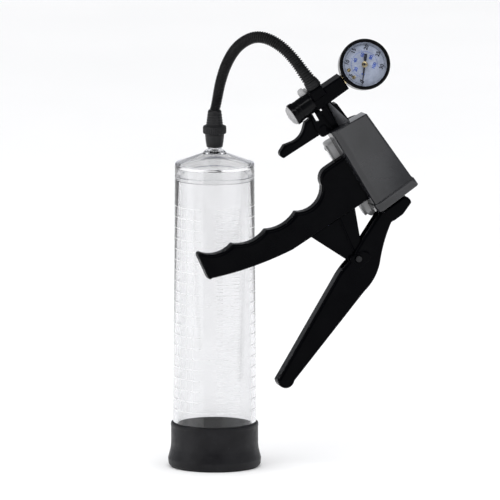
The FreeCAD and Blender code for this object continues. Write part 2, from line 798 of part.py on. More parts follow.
def lever():
    """The moving handle: solid below its pivot, forked round the web and the rod's eye above it."""
    body = part_body("lever", PUMP)
    side = sketch_on(body, "side", "XZ_Plane")
    outline(side, [
        ("10", "-103.8"),
        ("13.4", "-111.6", "13.6", "-107"),
        ("3", "-115.4"),
        ("-8", "-115.8"),
        ("-31.3", "-135.6", "-19.2", "-124"),
        ("-55.3", "-148.9", "-42.6", "-144.6"),
        ("-140", "-175.4"),
        ("-150.9", "-167.4", "-149.4", "-176.2"),
        ("-70.4", "-128.2"),
        ("-52", "-121.6", "-61.5", "-124.2"),
        ("-36", "-114"),
        ("-12", "-103.8"),
    ])
    padded(body, side, "lever_thickness")
    boss = sketch_on(body, "boss", "XZ_Plane")
    circle(boss, "7", "pivot_x", "pivot_z")
    padded(body, boss, "lever_thickness + 1.6", "boss_pad")
    fork = sketch_on(body, "fork", "XZ_Plane")
    outline(fork, [("-68.2", "-107.1"), ("-46.6", "-152"), ("30", "-152"), ("30", "-90"), ("-68.2", "-90")])
    pocketed(body, fork, "fork_gap", "fork_pocket")
    hole = sketch_on(body, "pivot_hole", "XZ_Plane")
    circle(hole, "pivot_radius + plunger_gap", "pivot_x", "pivot_z")
    pocketed(body, hole, "30", "pivot_pocket")
    slot = sketch_on(body, "slot", "XZ_Plane")
    run_x, run_z = number("axis_offset - pivot_x"), number("rod_eye_height - pivot_z")
    reach = math.hypot(run_x, run_z)
    along = FreeCAD.Vector(run_x / reach, run_z / reach, 0)
    across = FreeCAD.Vector(-along.y, along.x, 0)
    pivot = FreeCAD.Vector(number("pivot_x"), number("pivot_z"), 0)
    half_width = 2.35
    low, high = pivot + along * (run_x - 0.4), pivot + along * (reach + 0.4)
    points = [low + across * half_width, high + across * half_width, high + along * half_width,
              high - across * half_width, low - across * half_width, low - along * half_width]
    a, b, c, d, e, f = [(str(p.x), str(p.y)) for p in points]
    outline(slot, [b, d + c, e, a + f])
    pocketed(body, slot, "30", "slot_pocket")


def pivot_parts():
    node(plain("Cylinder", "pivot_pin", at(PUMP, "pivot_x", "-9.3", "pivot_z", ALONG_Y),
               Radius="pivot_radius", Height="18.6"))
    behind_lever = at(PUMP, "pivot_x", "9.3", "pivot_z", ALONG_Y)
    disc = plain("Cylinder", "clip_disc", behind_lever, Radius="4.2", Height="0.8")
    core = plain("Cylinder", "clip_core", behind_lever, Radius="1.4", Height="0.8")
    joined("Cut", "pivot_clip", disc, core)


# ---- gauge ----


def gauge_parts():
    turned("gauge_case", GAUGE, [
        ("0", "0 - gauge_half_depth"),
        ("gauge_radius - 1.8", "0 - gauge_half_depth"),
        ("gauge_radius - 0.8", "1 - gauge_half_depth"),
        ("gauge_radius - 0.8", "9.3"),
        ("gauge_radius - 0.8 - gauge_wall", "9.3"),
        ("gauge_radius - 0.8 - gauge_wall", "gauge_wall - gauge_half_depth"),
        ("0", "gauge_wall - gauge_half_depth"),
    ])
    case = nodes[-1]
    inlet = sketch_on(case, "inlet", "YZ_Plane", "0 - gauge_radius")
    circle(inlet, "stem_radius")
    pocketed(case, inlet, "20", "inlet_pocket")
    turned("gauge_bezel", GAUGE, [
        ("gauge_radius - 0.75", "5"),
        ("gauge_radius", "5.4"),
        ("gauge_radius", "gauge_half_depth - 0.9"),
        ("gauge_radius - 0.9", "gauge_half_depth"),
        ("gauge_radius - 2.2", "gauge_half_depth"),
        ("gauge_radius - 2.8", "gauge_half_depth - 0.7"),
        ("gauge_radius - 2.8", "10.9"),
        ("gauge_radius - 2", "10.9"),
        ("gauge_radius - 2", "9.4"),
        ("gauge_radius - 0.75", "9.4"),
    ])
    on_dial = [at(GAUGE, "0", "0", height) for height in ("9.4", "dial_height - 0.6", "dial_height - 2")]
    node(plain("Cylinder", "gauge_lens", on_dial[0], Radius="gauge_radius - 2.1", Height="1.45"))
    dial = plain("Cylinder", "dial_disc", on_dial[1], Radius="dial_radius", Height="0.6")
    hole = plain("Cylinder", "dial_hole", on_dial[2], Radius="0.9", Height="4")
    joined("Cut", "gauge_dial", dial, hole)
    heads = []
    for i, y in enumerate(("-3.4", "3.4")):
        place = at(GAUGE, "-12.6", y, "dial_height")
        heads.append(plain("Cylinder", f"dial_screw_{i}", place, Radius="1.5", Height="0.8"))
    joined("Compound", "gauge_dial_screws", *heads)
    angle = math.radians(POINTER_ANGLE - 7)
    beside_pointer = at(GAUGE, 12.6 * math.cos(angle), 12.6 * math.sin(angle), "dial_height")
    node(plain("Cylinder", "gauge_stop_pin", beside_pointer, Radius="0.6", Height="1.7"))
    block = plain("Box", "movement_block", at(GAUGE, "-6", "-5", "-2"), Length="12", Width="10", Height="6")
    spindle = plain("Cylinder", "movement_spindle", at(GAUGE, "0", "0", "3"),
                    Radius="0.6", Height="dial_height - 3")
    joined("Fuse", "gauge_movement", block, spindle)
    node(plain("Torus", "bourdon_tube", at(GAUGE, "0", "0", "-6"),
               Radius1="12", Radius2="1.7", Angle3="250"))


def gauge_pointer():
    turn = FreeCAD.Rotation(FreeCAD.Vector(0, 0, 1), POINTER_ANGLE)
    body = part_body("gauge_pointer", at(GAUGE, "0", "0", "dial_height + 1.3", turn))
    face = sketch_on(body, "face", "XY_Plane")
    outline(face, [
        ("15.6", "-0.2"),
        ("16", "0"),
        ("15.6", "0.2"),
        ("0", "0.75"),
        ("-3", "0.55"),
        ("-3.4", "1.1"),
        ("-8", "1.1"),
        ("-8", "-1.1"),
        ("-3.4", "-1.1"),
        ("-3", "-0.55"),
        ("0", "-0.75"),
    ])
    pad = body.newObject("PartDesign::Pad", "gauge_pointer_pad")
    pad.Profile = face
    pad.Length = 0.35
    turned("pointer_hub", at(GAUGE, "0", "0", "dial_height + 0.1"), [
        ("0", "0"),
        ("1.2", "0"),
        ("1.2", "1.2"),
        ("1.9", "1.65"),
        ("1.9", "2.0"),
        ("0.9", "2.2"),
        ("0", "2.2"),
    ])


def gauge_stem():
    turned("gauge_stem", at(PUMP, "0", "0", "0", ALONG_X), [
        ("1", "12"),
        ("stem_radius - 0.6", "12"),
        ("stem_radius - 0.6", "gauge_x - gauge_radius - 0.2"),
        ("stem_radius", "gauge_x - gauge_radius - 0.2"),
        ("stem_radius", "gauge_x - 9"),
        ("1", "gauge_x - 9"),
    ])


for make in (base_collar, chamber_tube, chamber_cap, nipple_o_ring, coupling_socket, coupling_collar,
             coupling_spring, hose, hose_end_ferrule, manifold, side_plug, valve_parts, trigger_bracket,
             release_trigger, trigger_pin, barrel_parts, piston_parts, piston_rod, front_cover, rear_cover,
             cover_screws, grip, lever, pivot_parts, gauge_parts, gauge_pointer, gauge_stem):
    make()
doc.recompute()

for thing in doc.Objects:
    if "Invalid" in thing.State or "Error" in thing.State:
        raise SystemExit(f"{thing.Name} failed: {thing.State}")
os.makedirs("parts", exist_ok=True)
for piece in nodes:
    shape = piece.Shape
    if shape.isNull() or not shape.isValid() or not shape.Solids:
        raise SystemExit(f"{piece.Label} has no valid solid")
    shape.exportStep(f"parts/{piece.Label}.step")
    print(piece.Label, round(shape.Volume), len(shape.Solids))
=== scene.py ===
"""Hand vacuum pump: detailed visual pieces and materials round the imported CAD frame.

Shapes are worked out in millimetres in the axes of the chamber or of the pump, and stored in metres.
The pump's axes are X towards the gauge, Z up its barrel and Y to the back.
"""
import json
import math

import bmesh
import bpy
import numpy as np
from mathutils import Matrix, Vector


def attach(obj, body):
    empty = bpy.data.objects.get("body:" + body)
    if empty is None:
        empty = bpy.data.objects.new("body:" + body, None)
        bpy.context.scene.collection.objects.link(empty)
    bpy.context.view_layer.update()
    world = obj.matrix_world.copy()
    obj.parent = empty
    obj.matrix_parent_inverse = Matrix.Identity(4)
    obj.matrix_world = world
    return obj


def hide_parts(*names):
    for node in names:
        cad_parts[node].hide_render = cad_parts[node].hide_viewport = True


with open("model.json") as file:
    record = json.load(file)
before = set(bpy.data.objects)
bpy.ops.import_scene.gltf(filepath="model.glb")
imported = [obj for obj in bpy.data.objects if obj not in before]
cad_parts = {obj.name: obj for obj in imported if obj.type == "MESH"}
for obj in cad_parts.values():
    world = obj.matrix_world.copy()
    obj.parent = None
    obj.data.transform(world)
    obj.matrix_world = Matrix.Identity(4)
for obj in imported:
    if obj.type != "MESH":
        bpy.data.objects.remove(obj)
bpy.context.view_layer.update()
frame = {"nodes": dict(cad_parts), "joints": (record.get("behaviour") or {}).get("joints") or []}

MM = 0.001
TURN = 2 * math.pi

# ---- places, from the frame's joints ----

joints = {joint["name"]: joint for joint in frame["joints"]}
gauge_centre = Vector(joints["pointer_turn"]["pos_m"])
gauge_normal = Vector(joints["pointer_turn"]["axis"]).normalized()
pump_x = -Vector(joints["plunger_slide"]["axis"]).normalized()
pump_y = Vector(joints["lever_swing"]["axis"]).normalized()
pump_z = -Vector(joints["rod_slide"]["axis"]).normalized()
GAUGE_X = 42.0


def axes(origin, x, y, z):
    """A frame whose own lengths are millimetres, at a point in metres."""
    turn = Matrix((x, y, z)).transposed().to_4x4()
    return Matrix.Translation(origin) @ turn @ Matrix.Scale(MM, 4)


CHAMBER = Matrix.Scale(MM, 4)
PUMP = axes(gauge_centre - pump_x * GAUGE_X * MM, pump_x, pump_y, pump_z)
GAUGE = axes(gauge_centre, pump_x, gauge_normal.cross(pump_x), gauge_normal)
FACE_UP = Matrix.Identity(4)
FACE_LEFT = Matrix.Rotation(math.radians(-90), 4, "Y")


def at(base, x=0.0, y=0.0, z=0.0, turn=FACE_UP):
    return base @ Matrix.Translation((x, y, z)) @ turn


# ---- outlines ----


def soften(corners, radius=0.5, steps=5):
    """A closed outline with its corners rounded. A third number is a corner's own radius."""
    smooth = []
    for i, corner in enumerate(corners):
        point = Vector(corner[:2])
        size = corner[2] if len(corner) > 2 else radius
        back = Vector(corners[i - 1][:2]) - point
        ahead = Vector(corners[(i + 1) % len(corners)][:2]) - point
        bend = back.angle(ahead)
        if size <= 0 or bend > math.radians(176):
            smooth.append(tuple(point))
            continue
        reach = min(size / math.tan(bend / 2), 0.48 * back.length, 0.48 * ahead.length)
        real = reach * math.tan(bend / 2)
        middle = (back.normalized() + ahead.normalized()).normalized()
        centre = point + middle * (real / math.sin(bend / 2))
        first = point + back.normalized() * reach - centre
        swing = first.angle_signed(point + ahead.normalized() * reach - centre)
        for k in range(steps + 1):
            arm = first.copy()
            arm.rotate(Matrix.Rotation(-swing * k / steps, 2))
            smooth.append(tuple(centre + arm))
    return smooth


def with_arcs(points, steps=9):
    """A closed outline of points (x, y), reached by a line, or (x, y, through_x, through_y), by an arc."""
    path = []
    for i, point in enumerate(points):
        if len(point) == 2:
            path.append(point)
            continue
        (ax, ay), (bx, by), (cx, cy) = points[i - 1][:2], point[2:], point[:2]
        d = 2 * (ax * (by - cy) + bx * (cy - ay) + cx * (ay - by))
        a, b, c = ax * ax + ay * ay, bx * bx + by * by, cx * cx + cy * cy
        ox = (a * (by - cy) + b * (cy - ay) + c * (ay - by)) / d
        oy = (a * (cx - bx) + b * (ax - cx) + c * (bx - ax)) / d
        start = math.atan2(ay - oy, ax - ox)
        sweep = (math.atan2(cy - oy, cx - ox) - start) % TURN
        if (math.atan2(by - oy, bx - ox) - start) % TURN > sweep:
            sweep -= TURN
        radius = math.hypot(ax - ox, ay - oy)
        for k in range(1, steps + 1):
            angle = start + sweep * k / steps
            path.append((ox + radius * math.cos(angle), oy + radius * math.sin(angle)))
    return path


# ---- meshes ----


def add_piece(name, body, slot, material, verts, faces, place, nodes=(), crease=40.0, close=True):
    """A finished piece from points in the place's own millimetres."""
    mesh = bpy.data.meshes.new(name)
    mesh.from_pydata([place @ Vector(v) for v in verts], [], [tuple(f) for f in faces])
    work = bmesh.new()
    work.from_mesh(mesh)
    if close:
        bmesh.ops.remove_doubles(work, verts=work.verts, dist=1e-6 * 2)
        bmesh.ops.recalc_face_normals(work, faces=work.faces)
    work.to_mesh(mesh)
    work.free()
    mesh.polygons.foreach_set("use_smooth", [True] * len(mesh.polygons))
    if crease:
        mesh.set_sharp_from_angle(angle=math.radians(crease))
    mesh.materials.append(material)
    piece = bpy.data.objects.new(name, mesh)
    bpy.context.scene.collection.objects.link(piece)
    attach(piece, body)
    if nodes:
        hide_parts(*nodes)
    return piece


def revolve(profile, steps=96, flutes=None):
    """A closed profile of (radius, height) turned about Z. flutes is (count, depth, lowest, highest)."""
    verts, faces = [], []
    widest = max(radius for radius, height in profile)
    for k in range(steps):
        angle = TURN * k / steps
        for radius, height in profile:
            r = radius
            if flutes and flutes[2] <= height <= flutes[3] and radius > widest - 1.5:
                r -= flutes[1] * (0.5 - 0.5 * math.cos(flutes[0] * angle)) ** 2
            verts.append((r * math.cos(angle), r * math.sin(angle), height))
    n = len(profile)
    for k in range(steps):
        for i in range(n):
            j = (i + 1) % n
            ahead = (k + 1) % steps
            faces.append((k * n + i, ahead * n + i, ahead * n + j, k * n + j))
    return verts, faces


def turned(name, body, slot, material, place, corners, radius=0.4, nodes=(), steps=96, flutes=None, arc=5):
    verts, faces = revolve(soften(corners, radius, arc), steps, flutes)
    return add_piece(name, body, slot, material, verts, faces, place, nodes)


def stacked(rings):
    """Rings of points joined one to the next, with flat ends."""
    verts = [point for ring in rings for point in ring]
    n = len(rings[0])
    faces = []
    for k in range(len(rings) - 1):
        for i in range(n):
            j = (i + 1) % n
            faces.append((k * n + i, k * n + j, (k + 1) * n + j, (k + 1) * n + i))
    faces.append(tuple(range(n))[::-1])
    faces.append(tuple(range(len(verts) - n, len(verts))))
    return verts, faces


def merged(parts):
    verts, faces = [], []
    for more_verts, more_faces in parts:
        offset = len(verts)
        verts += more_verts
        faces += [tuple(i + offset for i in face) for face in more_faces]
    return verts, faces


# ---- solids described by their distance to the surface ----


def outline_distance(x, z, outline):
    nearest = np.full(np.broadcast(x, z).shape, 1e9)
    inside = np.zeros(nearest.shape, dtype=bool)
    for (ax, az), (bx, bz) in zip(outline, outline[1:] + outline[:1]):
        run, rise = bx - ax, bz - az
        length = run * run + rise * rise
        if length < 1e-12:
            continue
        along = np.clip(((x - ax) * run + (z - az) * rise) / length, 0.0, 1.0)
        nearest = np.minimum(nearest, (x - ax - along * run) ** 2 + (z - az - along * rise) ** 2)
        if abs(rise) > 1e-12:
            inside ^= ((az > z) != (bz > z)) & (x < run * (z - az) / rise + ax)
    return np.where(inside, -1.0, 1.0) * np.sqrt(nearest)


def slab(outline, half, edge, middle=0.0):
    """An outline in the XZ plane, half thick each way, with its rims rounded."""
    def field(x, y, z):
        flat = x.ndim == 3
        if flat:
            side = outline_distance(x[:, :1, :], z[:, :1, :], outline)
        else:
            side = outline_distance(x, z, outline)
        across = np.abs(y - middle) - half
        out = np.sqrt(np.maximum(side + edge, 0.0) ** 2 + np.maximum(across + edge, 0.0) ** 2)
        return np.minimum(np.maximum(side, across) + edge, 0.0) + out - edge
    return field


def bar(start, end, radius, edge):
    """A round bar with rounded rims."""
    a, b = np.array(start, dtype=float), np.array(end, dtype=float)
    middle, half = (a + b) / 2, np.linalg.norm(b - a) / 2
    axis = (b - a) / (2 * half)

    def field(x, y, z):
        p = [x - middle[0], y - middle[1], z - middle[2]]
        along = p[0] * axis[0] + p[1] * axis[1] + p[2] * axis[2]
        off = np.sqrt(np.maximum(p[0] ** 2 + p[1] ** 2 + p[2] ** 2 - along ** 2, 0.0))
        side, across = off - radius, np.abs(along) - half
        out = np.sqrt(np.maximum(side + edge, 0.0) ** 2 + np.maximum(across + edge, 0.0) ** 2)
        return np.minimum(np.maximum(side, across) + edge, 0.0) + out - edge
    return field


def union(softness, *fields):
    def field(x, y, z):
        total = fields[0](x, y, z)
        for other in fields[1:]:
            more = other(x, y, z)
            h = np.maximum(softness - np.abs(total - more), 0.0) / softness
            total = np.minimum(total, more) - h * h * softness / 4
        return total
    return field


def less(softness, solid, *tools):
    def field(x, y, z):
        total = solid(x, y, z)
        for tool in tools:
            cut = -tool(x, y, z)
            h = np.maximum(softness - np.abs(total - cut), 0.0) / softness
            total = np.maximum(total, cut) + h * h * softness / 4
        return total
    return field


def leaning(solid, x_slope, z_slope):
    """The solid drawn at y 0, moved sideways and along as it goes back."""
    def field(x, y, z):
        shape = np.broadcast(x, y, z).shape
        flat = [np.broadcast_to(axis, shape).ravel() for axis in (x, y, z)]
        return solid(flat[0] - x_slope * flat[1], flat[1], flat[2] - z_slope * flat[1]).reshape(shape)
    return field


def surface(field, low, high, cell):
    """A mesh of quads on the surface where the field is zero."""
    low = np.array(low, dtype=float) - 1.5 * cell
    lines = [np.arange(low[i], high[i] + 2.5 * cell, cell) for i in range(3)]
    value = field(*np.meshgrid(*lines, indexing="ij"))
    solid = value < 0
    size = np.array(value.shape)

    def corner(offset):
        return tuple(slice(offset[i], size[i] - 1 + offset[i]) for i in range(3))

    total = np.zeros((*(size - 1), 3))
    count = np.zeros(size - 1)
    for axis in range(3):
        for first in (0, 1):
            for second in (0, 1):
                start = [0, 0, 0]
                start[(axis + 1) % 3] = first
                start[(axis + 2) % 3] = second
                end = list(start)
                end[axis] = 1
                a, b = value[corner(start)], value[corner(end)]
                cut = (a < 0) != (b < 0)
                share = np.where(cut, a / np.where(cut, a - b, 1.0), 0.0)
                for i in range(3):
                    total[..., i] += cut * (share if i == axis else start[i])
                count += cut
    used = count > 0
    number = np.full(used.shape, -1)
    number[used] = np.arange(used.sum())
    points = (np.argwhere(used) + total[used] / count[used][:, None]) * cell + low
    faces = []
    step = np.eye(3, dtype=int)
    for axis in range(3):
        b, c = (axis + 1) % 3, (axis + 2) % 3
        here = [slice(None)] * 3
        ahead = [slice(None)] * 3
        here[axis], ahead[axis] = slice(0, -1), slice(1, None)
        places = np.argwhere(solid[tuple(here)] != solid[tuple(ahead)])
        quad = np.stack([number[tuple((places - shift).T)]
                         for shift in (0 * step[b], step[b], step[b] + step[c], step[c])], axis=1)
        outward = solid[tuple(places.T)]
        quad[~outward] = quad[~outward][:, ::-1]
        faces.append(quad)
    probe = 0.01
    for _ in range(3):
        x, y, z = points.T
        off = field(x, y, z)
        slope = np.stack([
            field(x + probe, y, z) - field(x - probe, y, z),
            field(x, y + probe, z) - field(x, y - probe, z),
            field(x, y, z + probe) - field(x, y, z - probe),
        ], axis=1) / (2 * probe)
        step_back = off[:, None] * slope / np.maximum((slope ** 2).sum(axis=1), 0.2)[:, None]
        points = points - np.clip(step_back, -0.5 * cell, 0.5 * cell)
    return points.tolist(), np.concatenate(faces).tolist()


def sculpted(name, body, slot, material, field, low, high, cell=0.6, nodes=()):
    verts, faces = surface(field, low, high, cell)
    return add_piece(name, body, slot, material, verts, faces, PUMP, nodes, crease=0.0, close=False)


# ---- materials ----

NOISE_LOW, NOISE_HIGH = 0.3, 0.7


def finish(name, colour, roughness, spread=0.06, grain=900.0, depth=0.00002, tone=0.06, cloud=60.0,
           metallic=0.0, brushed=False, specks=0.0, **sockets):
    """A moulded, turned or printed surface: tone and gloss drift slowly over a fine grain."""
    material = bpy.data.materials.new(name)
    material.use_nodes = True
    tree = material.node_tree
    shader = tree.nodes["Principled BSDF"]
    shader.inputs["Metallic"].default_value = metallic
    for key, value in sockets.items():
        shader.inputs[key.replace("_", " ")].default_value = value
    place = tree.nodes.new("ShaderNodeTexCoord")

    def noise(scale, detail, roughness_of=0.5):
        texture = tree.nodes.new("ShaderNodeTexNoise")
        texture.inputs["Scale"].default_value = scale
        texture.inputs["Detail"].default_value = detail
        texture.inputs["Roughness"].default_value = roughness_of
        tree.links.new(place.outputs["Object"], texture.inputs["Vector"])
        return texture

    drift = noise(cloud, 4.0)
    fine = noise(grain, 3.0, 0.6)
    if brushed:
        stretch = tree.nodes.new("ShaderNodeMapping")
        stretch.inputs["Scale"].default_value = (1.0, 1.0, 14.0)
        tree.links.new(place.outputs["Object"], stretch.inputs["Vector"])
        tree.links.new(stretch.outputs["Vector"], fine.inputs["Vector"])

    shades = tree.nodes.new("ShaderNodeValToRGB")
    dark = [max(0.0, c * (1 - tone) - tone * 0.004) for c in colour[:3]]
    light = [min(1.0, c * (1 + tone) + tone * 0.02) for c in colour[:3]]
    shades.color_ramp.elements[0].position = NOISE_LOW
    shades.color_ramp.elements[1].position = NOISE_HIGH
    shades.color_ramp.elements[0].color = (*dark, 1.0)
    shades.color_ramp.elements[1].color = (*light, 1.0)
    tree.links.new(drift.outputs["Fac"], shades.inputs["Fac"])
    base = shades.outputs["Color"]
    if specks:
        dust = noise(grain * 0.35, 1.0)
        threshold = tree.nodes.new("ShaderNodeMapRange")
        threshold.inputs["From Min"].default_value = 0.72
        threshold.inputs["From Max"].default_value = 0.78
        threshold.inputs["To Max"].default_value = specks
        tree.links.new(dust.outputs["Fac"], threshold.inputs["Value"])
        mix = tree.nodes.new("ShaderNodeMix")
        mix.data_type = "RGBA"
        mix.inputs["B"].default_value = (0.5, 0.5, 0.5, 1.0)
        tree.links.new(threshold.outputs["Result"], mix.inputs["Factor"])
        tree.links.new(base, mix.inputs["A"])
        base = mix.outputs["Result"]
    tree.links.new(base, shader.inputs["Base Color"])

    gloss = tree.nodes.new("ShaderNodeMapRange")
    gloss.inputs["From Min"].default_value = NOISE_LOW
    gloss.inputs["From Max"].default_value = NOISE_HIGH
    gloss.inputs["To Min"].default_value = max(0.0, roughness - spread)
    gloss.inputs["To Max"].default_value = roughness + spread
    tree.links.new(noise(cloud * 3.1, 5.0, 0.6).outputs["Fac"], gloss.inputs["Value"])
    tree.links.new(gloss.outputs["Result"], shader.inputs["Roughness"])

    bump = tree.nodes.new("ShaderNodeBump")
    bump.inputs["Distance"].default_value = depth
    bump.inputs["Strength"].default_value = 0.6
    tree.links.new(fine.outputs["Fac"], bump.inputs["Height"])
    tree.links.new(bump.outputs["Normal"], shader.inputs["Normal"])
    return material


CLEAR = finish("clear_plastic", (0.88, 0.88, 0.882), 0.035, spread=0.02, tone=0.01, depth=0.000004,
               Transmission_Weight=1.0, IOR=1.49)
FROSTED = finish("frosted_marks", (0.98, 0.98, 1.0), 0.5, spread=0.1, tone=0.02, depth=0.00002,
                 Transmission_Weight=0.15, IOR=1.3)
EDGE_BLUE = finish("edge_blue", (0.42, 0.46, 0.8), 0.3, spread=0.05, tone=0.05, depth=0.000004,
                   Transmission_Weight=0.5, IOR=1.3)
absorb = CLEAR.node_tree.nodes.new("ShaderNodeVolumeAbsorption")
absorb.inputs["Color"].default_value = (0.8, 0.81, 0.86, 1.0)
absorb.inputs["Density"].default_value = 25.0
CLEAR.node_tree.links.new(absorb.outputs["Volume"], CLEAR.node_tree.nodes["Material Output"].inputs["Volume"])
LENS = finish("lens_plastic", (0.05, 0.055, 0.07), 0.06, spread=0.02, tone=0.01, depth=0.000002, Alpha=0.12)
COLLAR_RUBBER = finish("collar_rubber", (0.0045, 0.0044, 0.0058), 0.45, spread=0.09, grain=1400.0,
                       depth=0.00008, tone=0.2, specks=0.02, Specular_IOR_Level=0.2)
HOSE_RUBBER = finish("hose_rubber", (0.004, 0.004, 0.0045), 0.4, spread=0.1, grain=1500.0, depth=0.00005,
                     tone=0.25, specks=0.02, Specular_IOR_Level=0.25)
SEAL_RUBBER = finish("seal_rubber", (0.012, 0.012, 0.013), 0.5, grain=1600.0, depth=0.00004, tone=0.2)
COVER_BLACK = finish("cover_black", (0.002, 0.0021, 0.0026), 0.16, spread=0.03, grain=700.0, depth=0.000004,
                     tone=0.05, Specular_IOR_Level=0.09)
HANDLE_BLACK = finish("handle_black", (0.0006, 0.0007, 0.0012), 0.2, spread=0.05, grain=900.0, depth=0.000005,
                      tone=0.03, Specular_IOR_Level=0.03)
# Painted highlight: the neck web is black plastic, but it gets a mid grey colour that stands in for the
# bright highlight lines down the neck.
NECK_PAINTED_HIGHLIGHT = finish("neck_painted_highlight", (0.09, 0.092, 0.1), 0.3, spread=0.05, grain=900.0, depth=0.000006,
                     tone=0.2, Specular_IOR_Level=0.5)
CASING_BLACK = finish("casing_black", (0.008, 0.0084, 0.0102), 0.1, spread=0.03, grain=700.0, depth=0.000003,
                      tone=0.3, cloud=28.0, Specular_IOR_Level=0.5)
MATTE_BLACK = finish("matte_black", (0.006, 0.006, 0.007), 0.45, spread=0.08, grain=1300.0, depth=0.00005,
                     tone=0.2, Specular_IOR_Level=0.25)
GREY_PLASTIC = finish("grey_plastic", (0.36, 0.36, 0.365), 0.42, spread=0.06, grain=1100.0, depth=0.00002,
                      tone=0.05)
STEEL = finish("steel", (0.6, 0.6, 0.62), 0.28, spread=0.08, grain=500.0, depth=0.000012, metallic=1.0,
               brushed=True)
DARK_STEEL = finish("dark_steel", (0.03, 0.03, 0.032), 0.34, grain=700.0, metallic=0.6, tone=0.2)
BRASS = finish("brass", (0.66, 0.55, 0.32), 0.25, spread=0.08, grain=900.0, depth=0.000010, metallic=1.0)
DIAL = finish("dial_paint", (0.42, 0.47, 0.6), 0.5, spread=0.05, grain=1500.0, depth=0.000006, tone=0.16,
              cloud=260.0)
BLACK_INK = finish("black_ink", (0.012, 0.014, 0.03), 0.5, grain=1500.0, depth=0.000004, tone=0.3,
                   cloud=400.0)
BLUE_INK = finish("blue_ink", (0.035, 0.1, 0.5), 0.5, grain=1500.0, depth=0.000004, tone=0.3, cloud=400.0)
LETTER_WEIGHT = 0.16
POINTER_BLACK = finish("pointer_paint", (0.01, 0.011, 0.02), 0.4, grain=1500.0, depth=0.000004, tone=0.3)

# ---- chamber ----

TUBE_FOOT, TUBE_TOP = 32.7, 31.1
WALL = 3.6
COLLAR_TOP = 35.0
LEDGE = 6.0
SHOULDER = 227.0
SPIGOT_TOP = 236.0
SPIGOT = 29.3
RIM = 239.0
BORE = 1.5
SEAM = 0.08

turned("chamber_wall", "chamber", "clear_plastic", CLEAR, CHAMBER, [
    (TUBE_FOOT - WALL, LEDGE + SEAM),
    (TUBE_FOOT - SEAM, LEDGE + SEAM),
    (TUBE_FOOT - 0.2 - SEAM, COLLAR_TOP),
    (TUBE_TOP, SHOULDER - SEAM, 0.25),
    (SPIGOT + SEAM, SHOULDER - SEAM, 0.2),
    (SPIGOT + SEAM, SPIGOT_TOP, 0.2),
    (TUBE_TOP - WALL, SPIGOT_TOP, 0.3),
], nodes=("chamber_tube",), steps=160)

turned("chamber_top", "chamber", "clear_plastic", CLEAR, CHAMBER, [
    (BORE, 247.6, 0.3),
    (6.0, 247.4, 1.5),
    (27.2, 237.9, 2.0),
    (SPIGOT, SPIGOT_TOP + SEAM, 0.6),
    (SPIGOT, SHOULDER, 0.15),
    (TUBE_TOP, SHOULDER, 0.25),
    (TUBE_TOP, SHOULDER + 2.6, 0.2),
    (TUBE_TOP - 0.35, SHOULDER + 3.0, 0.2),
    (TUBE_TOP, SHOULDER + 3.4, 0.2),
    (31.0, RIM, 0.9),
    (9.4, 247.2, 1.6),
    (7.4, 249.5, 0.4),
    (5.6, 249.5, 0.4),
    (5.6, 251.0, 0.3),
    (3.6, 251.0, 0.2),
    (3.6, 265.8, 0.5),
    (BORE, 265.8, 0.3),
], nodes=("chamber_cap",), steps=160)


ROOT = 0.06


def ridge(radius, height, start, end, rise, thick):
    """A raised line round the chamber from one bearing to another, in degrees seen from above."""
    steps = max(3, int(abs(end - start) / 2.5))
    rings = []
    for k in range(steps + 1):
        angle = math.radians(start + (end - start) * k / steps)
        taper = 0.35 if k in (0, steps) else 1.0
        crest = rise * taper
        profile = ((-ROOT, -thick / 2), (crest, -thick / 4), (crest, thick / 4), (-ROOT, thick / 2))
        section = []
        for out, up in profile:
            r = radius + out
            section.append((r * math.cos(angle), r * math.sin(angle), height + up))
        rings.append(section)
    return stacked(rings)


def mark(height, start, end, rise=0.22, thick=0.34):
    """A raised line on the tube's outside."""
    radius = TUBE_FOOT - 0.2 + (TUBE_TOP - TUBE_FOOT + 0.2) * (height - COLLAR_TOP) / (SHOULDER - COLLAR_TOP)
    return ridge(radius, height, start, end, rise, thick)


MARK_PITCH = 8.46
FIRST_MARK = 46.0
MARK_COUNT = 20
lines = []
for n in range(MARK_COUNT):
    height = FIRST_MARK + n * MARK_PITCH
    lines.append(mark(height, -182, -110 if n % 5 else -96))
    lines.append(mark(height, -28, 6))
for n in range((MARK_COUNT - 1) * 3 + 1):
    height = FIRST_MARK + n * MARK_PITCH / 3
    lines.append(mark(height, -86 if n % 3 else -88, -78 if n % 3 else -70, 0.16, 0.28))
    lines.append(mark(height, -62 if n % 3 else -66, -52, 0.14, 0.26))
for bearing in (-170, -158, -146, -134, -122):
    for n in range(MARK_COUNT - 1):
        height = FIRST_MARK + (n + 0.5) * MARK_PITCH
        lines.append(mark(height, bearing - 0.25, bearing + 0.25, 0.14, MARK_PITCH))
verts, faces = merged(lines)
add_piece("graduations", "chamber", "clear_plastic", FROSTED, verts, faces, CHAMBER)

verts, faces = merged([
    ridge(30.3, 239.0, 2, 178, 0.25, 0.8),
    ridge(30.9, 227.1, 20, 160, 0.12, 0.3),
    ridge(30.9, 229.9, 20, 160, 0.12, 0.3),
])
add_piece("rim_edge", "chamber", "clear_plastic", EDGE_BLUE, verts, faces, CHAMBER)

turned("collar", "chamber", "seat_rubber", COLLAR_RUBBER, CHAMBER, [
    (27.0, 0.0, 0.8),
    (34.0, 0.0, 1.2),
    (35.9, 2.2, 2.0),
    (36.3, 6.7, 2.5),
    (34.3, 14.5, 8.0),
    (33.95, 18.0, 8.0),
    (33.95, 31.8, 0.4),
    (34.15, 32.2, 0.4),
    (34.15, 33.9, 0.5),
    (33.7, 35.0, 0.6),
    (32.62, 35.0, 0.3),
    (32.75, 6.0, 0.2),
    (27.0, 6.0, 0.8),
], nodes=("base_collar",), steps=144, arc=8)

# ---- coupling and hose ----

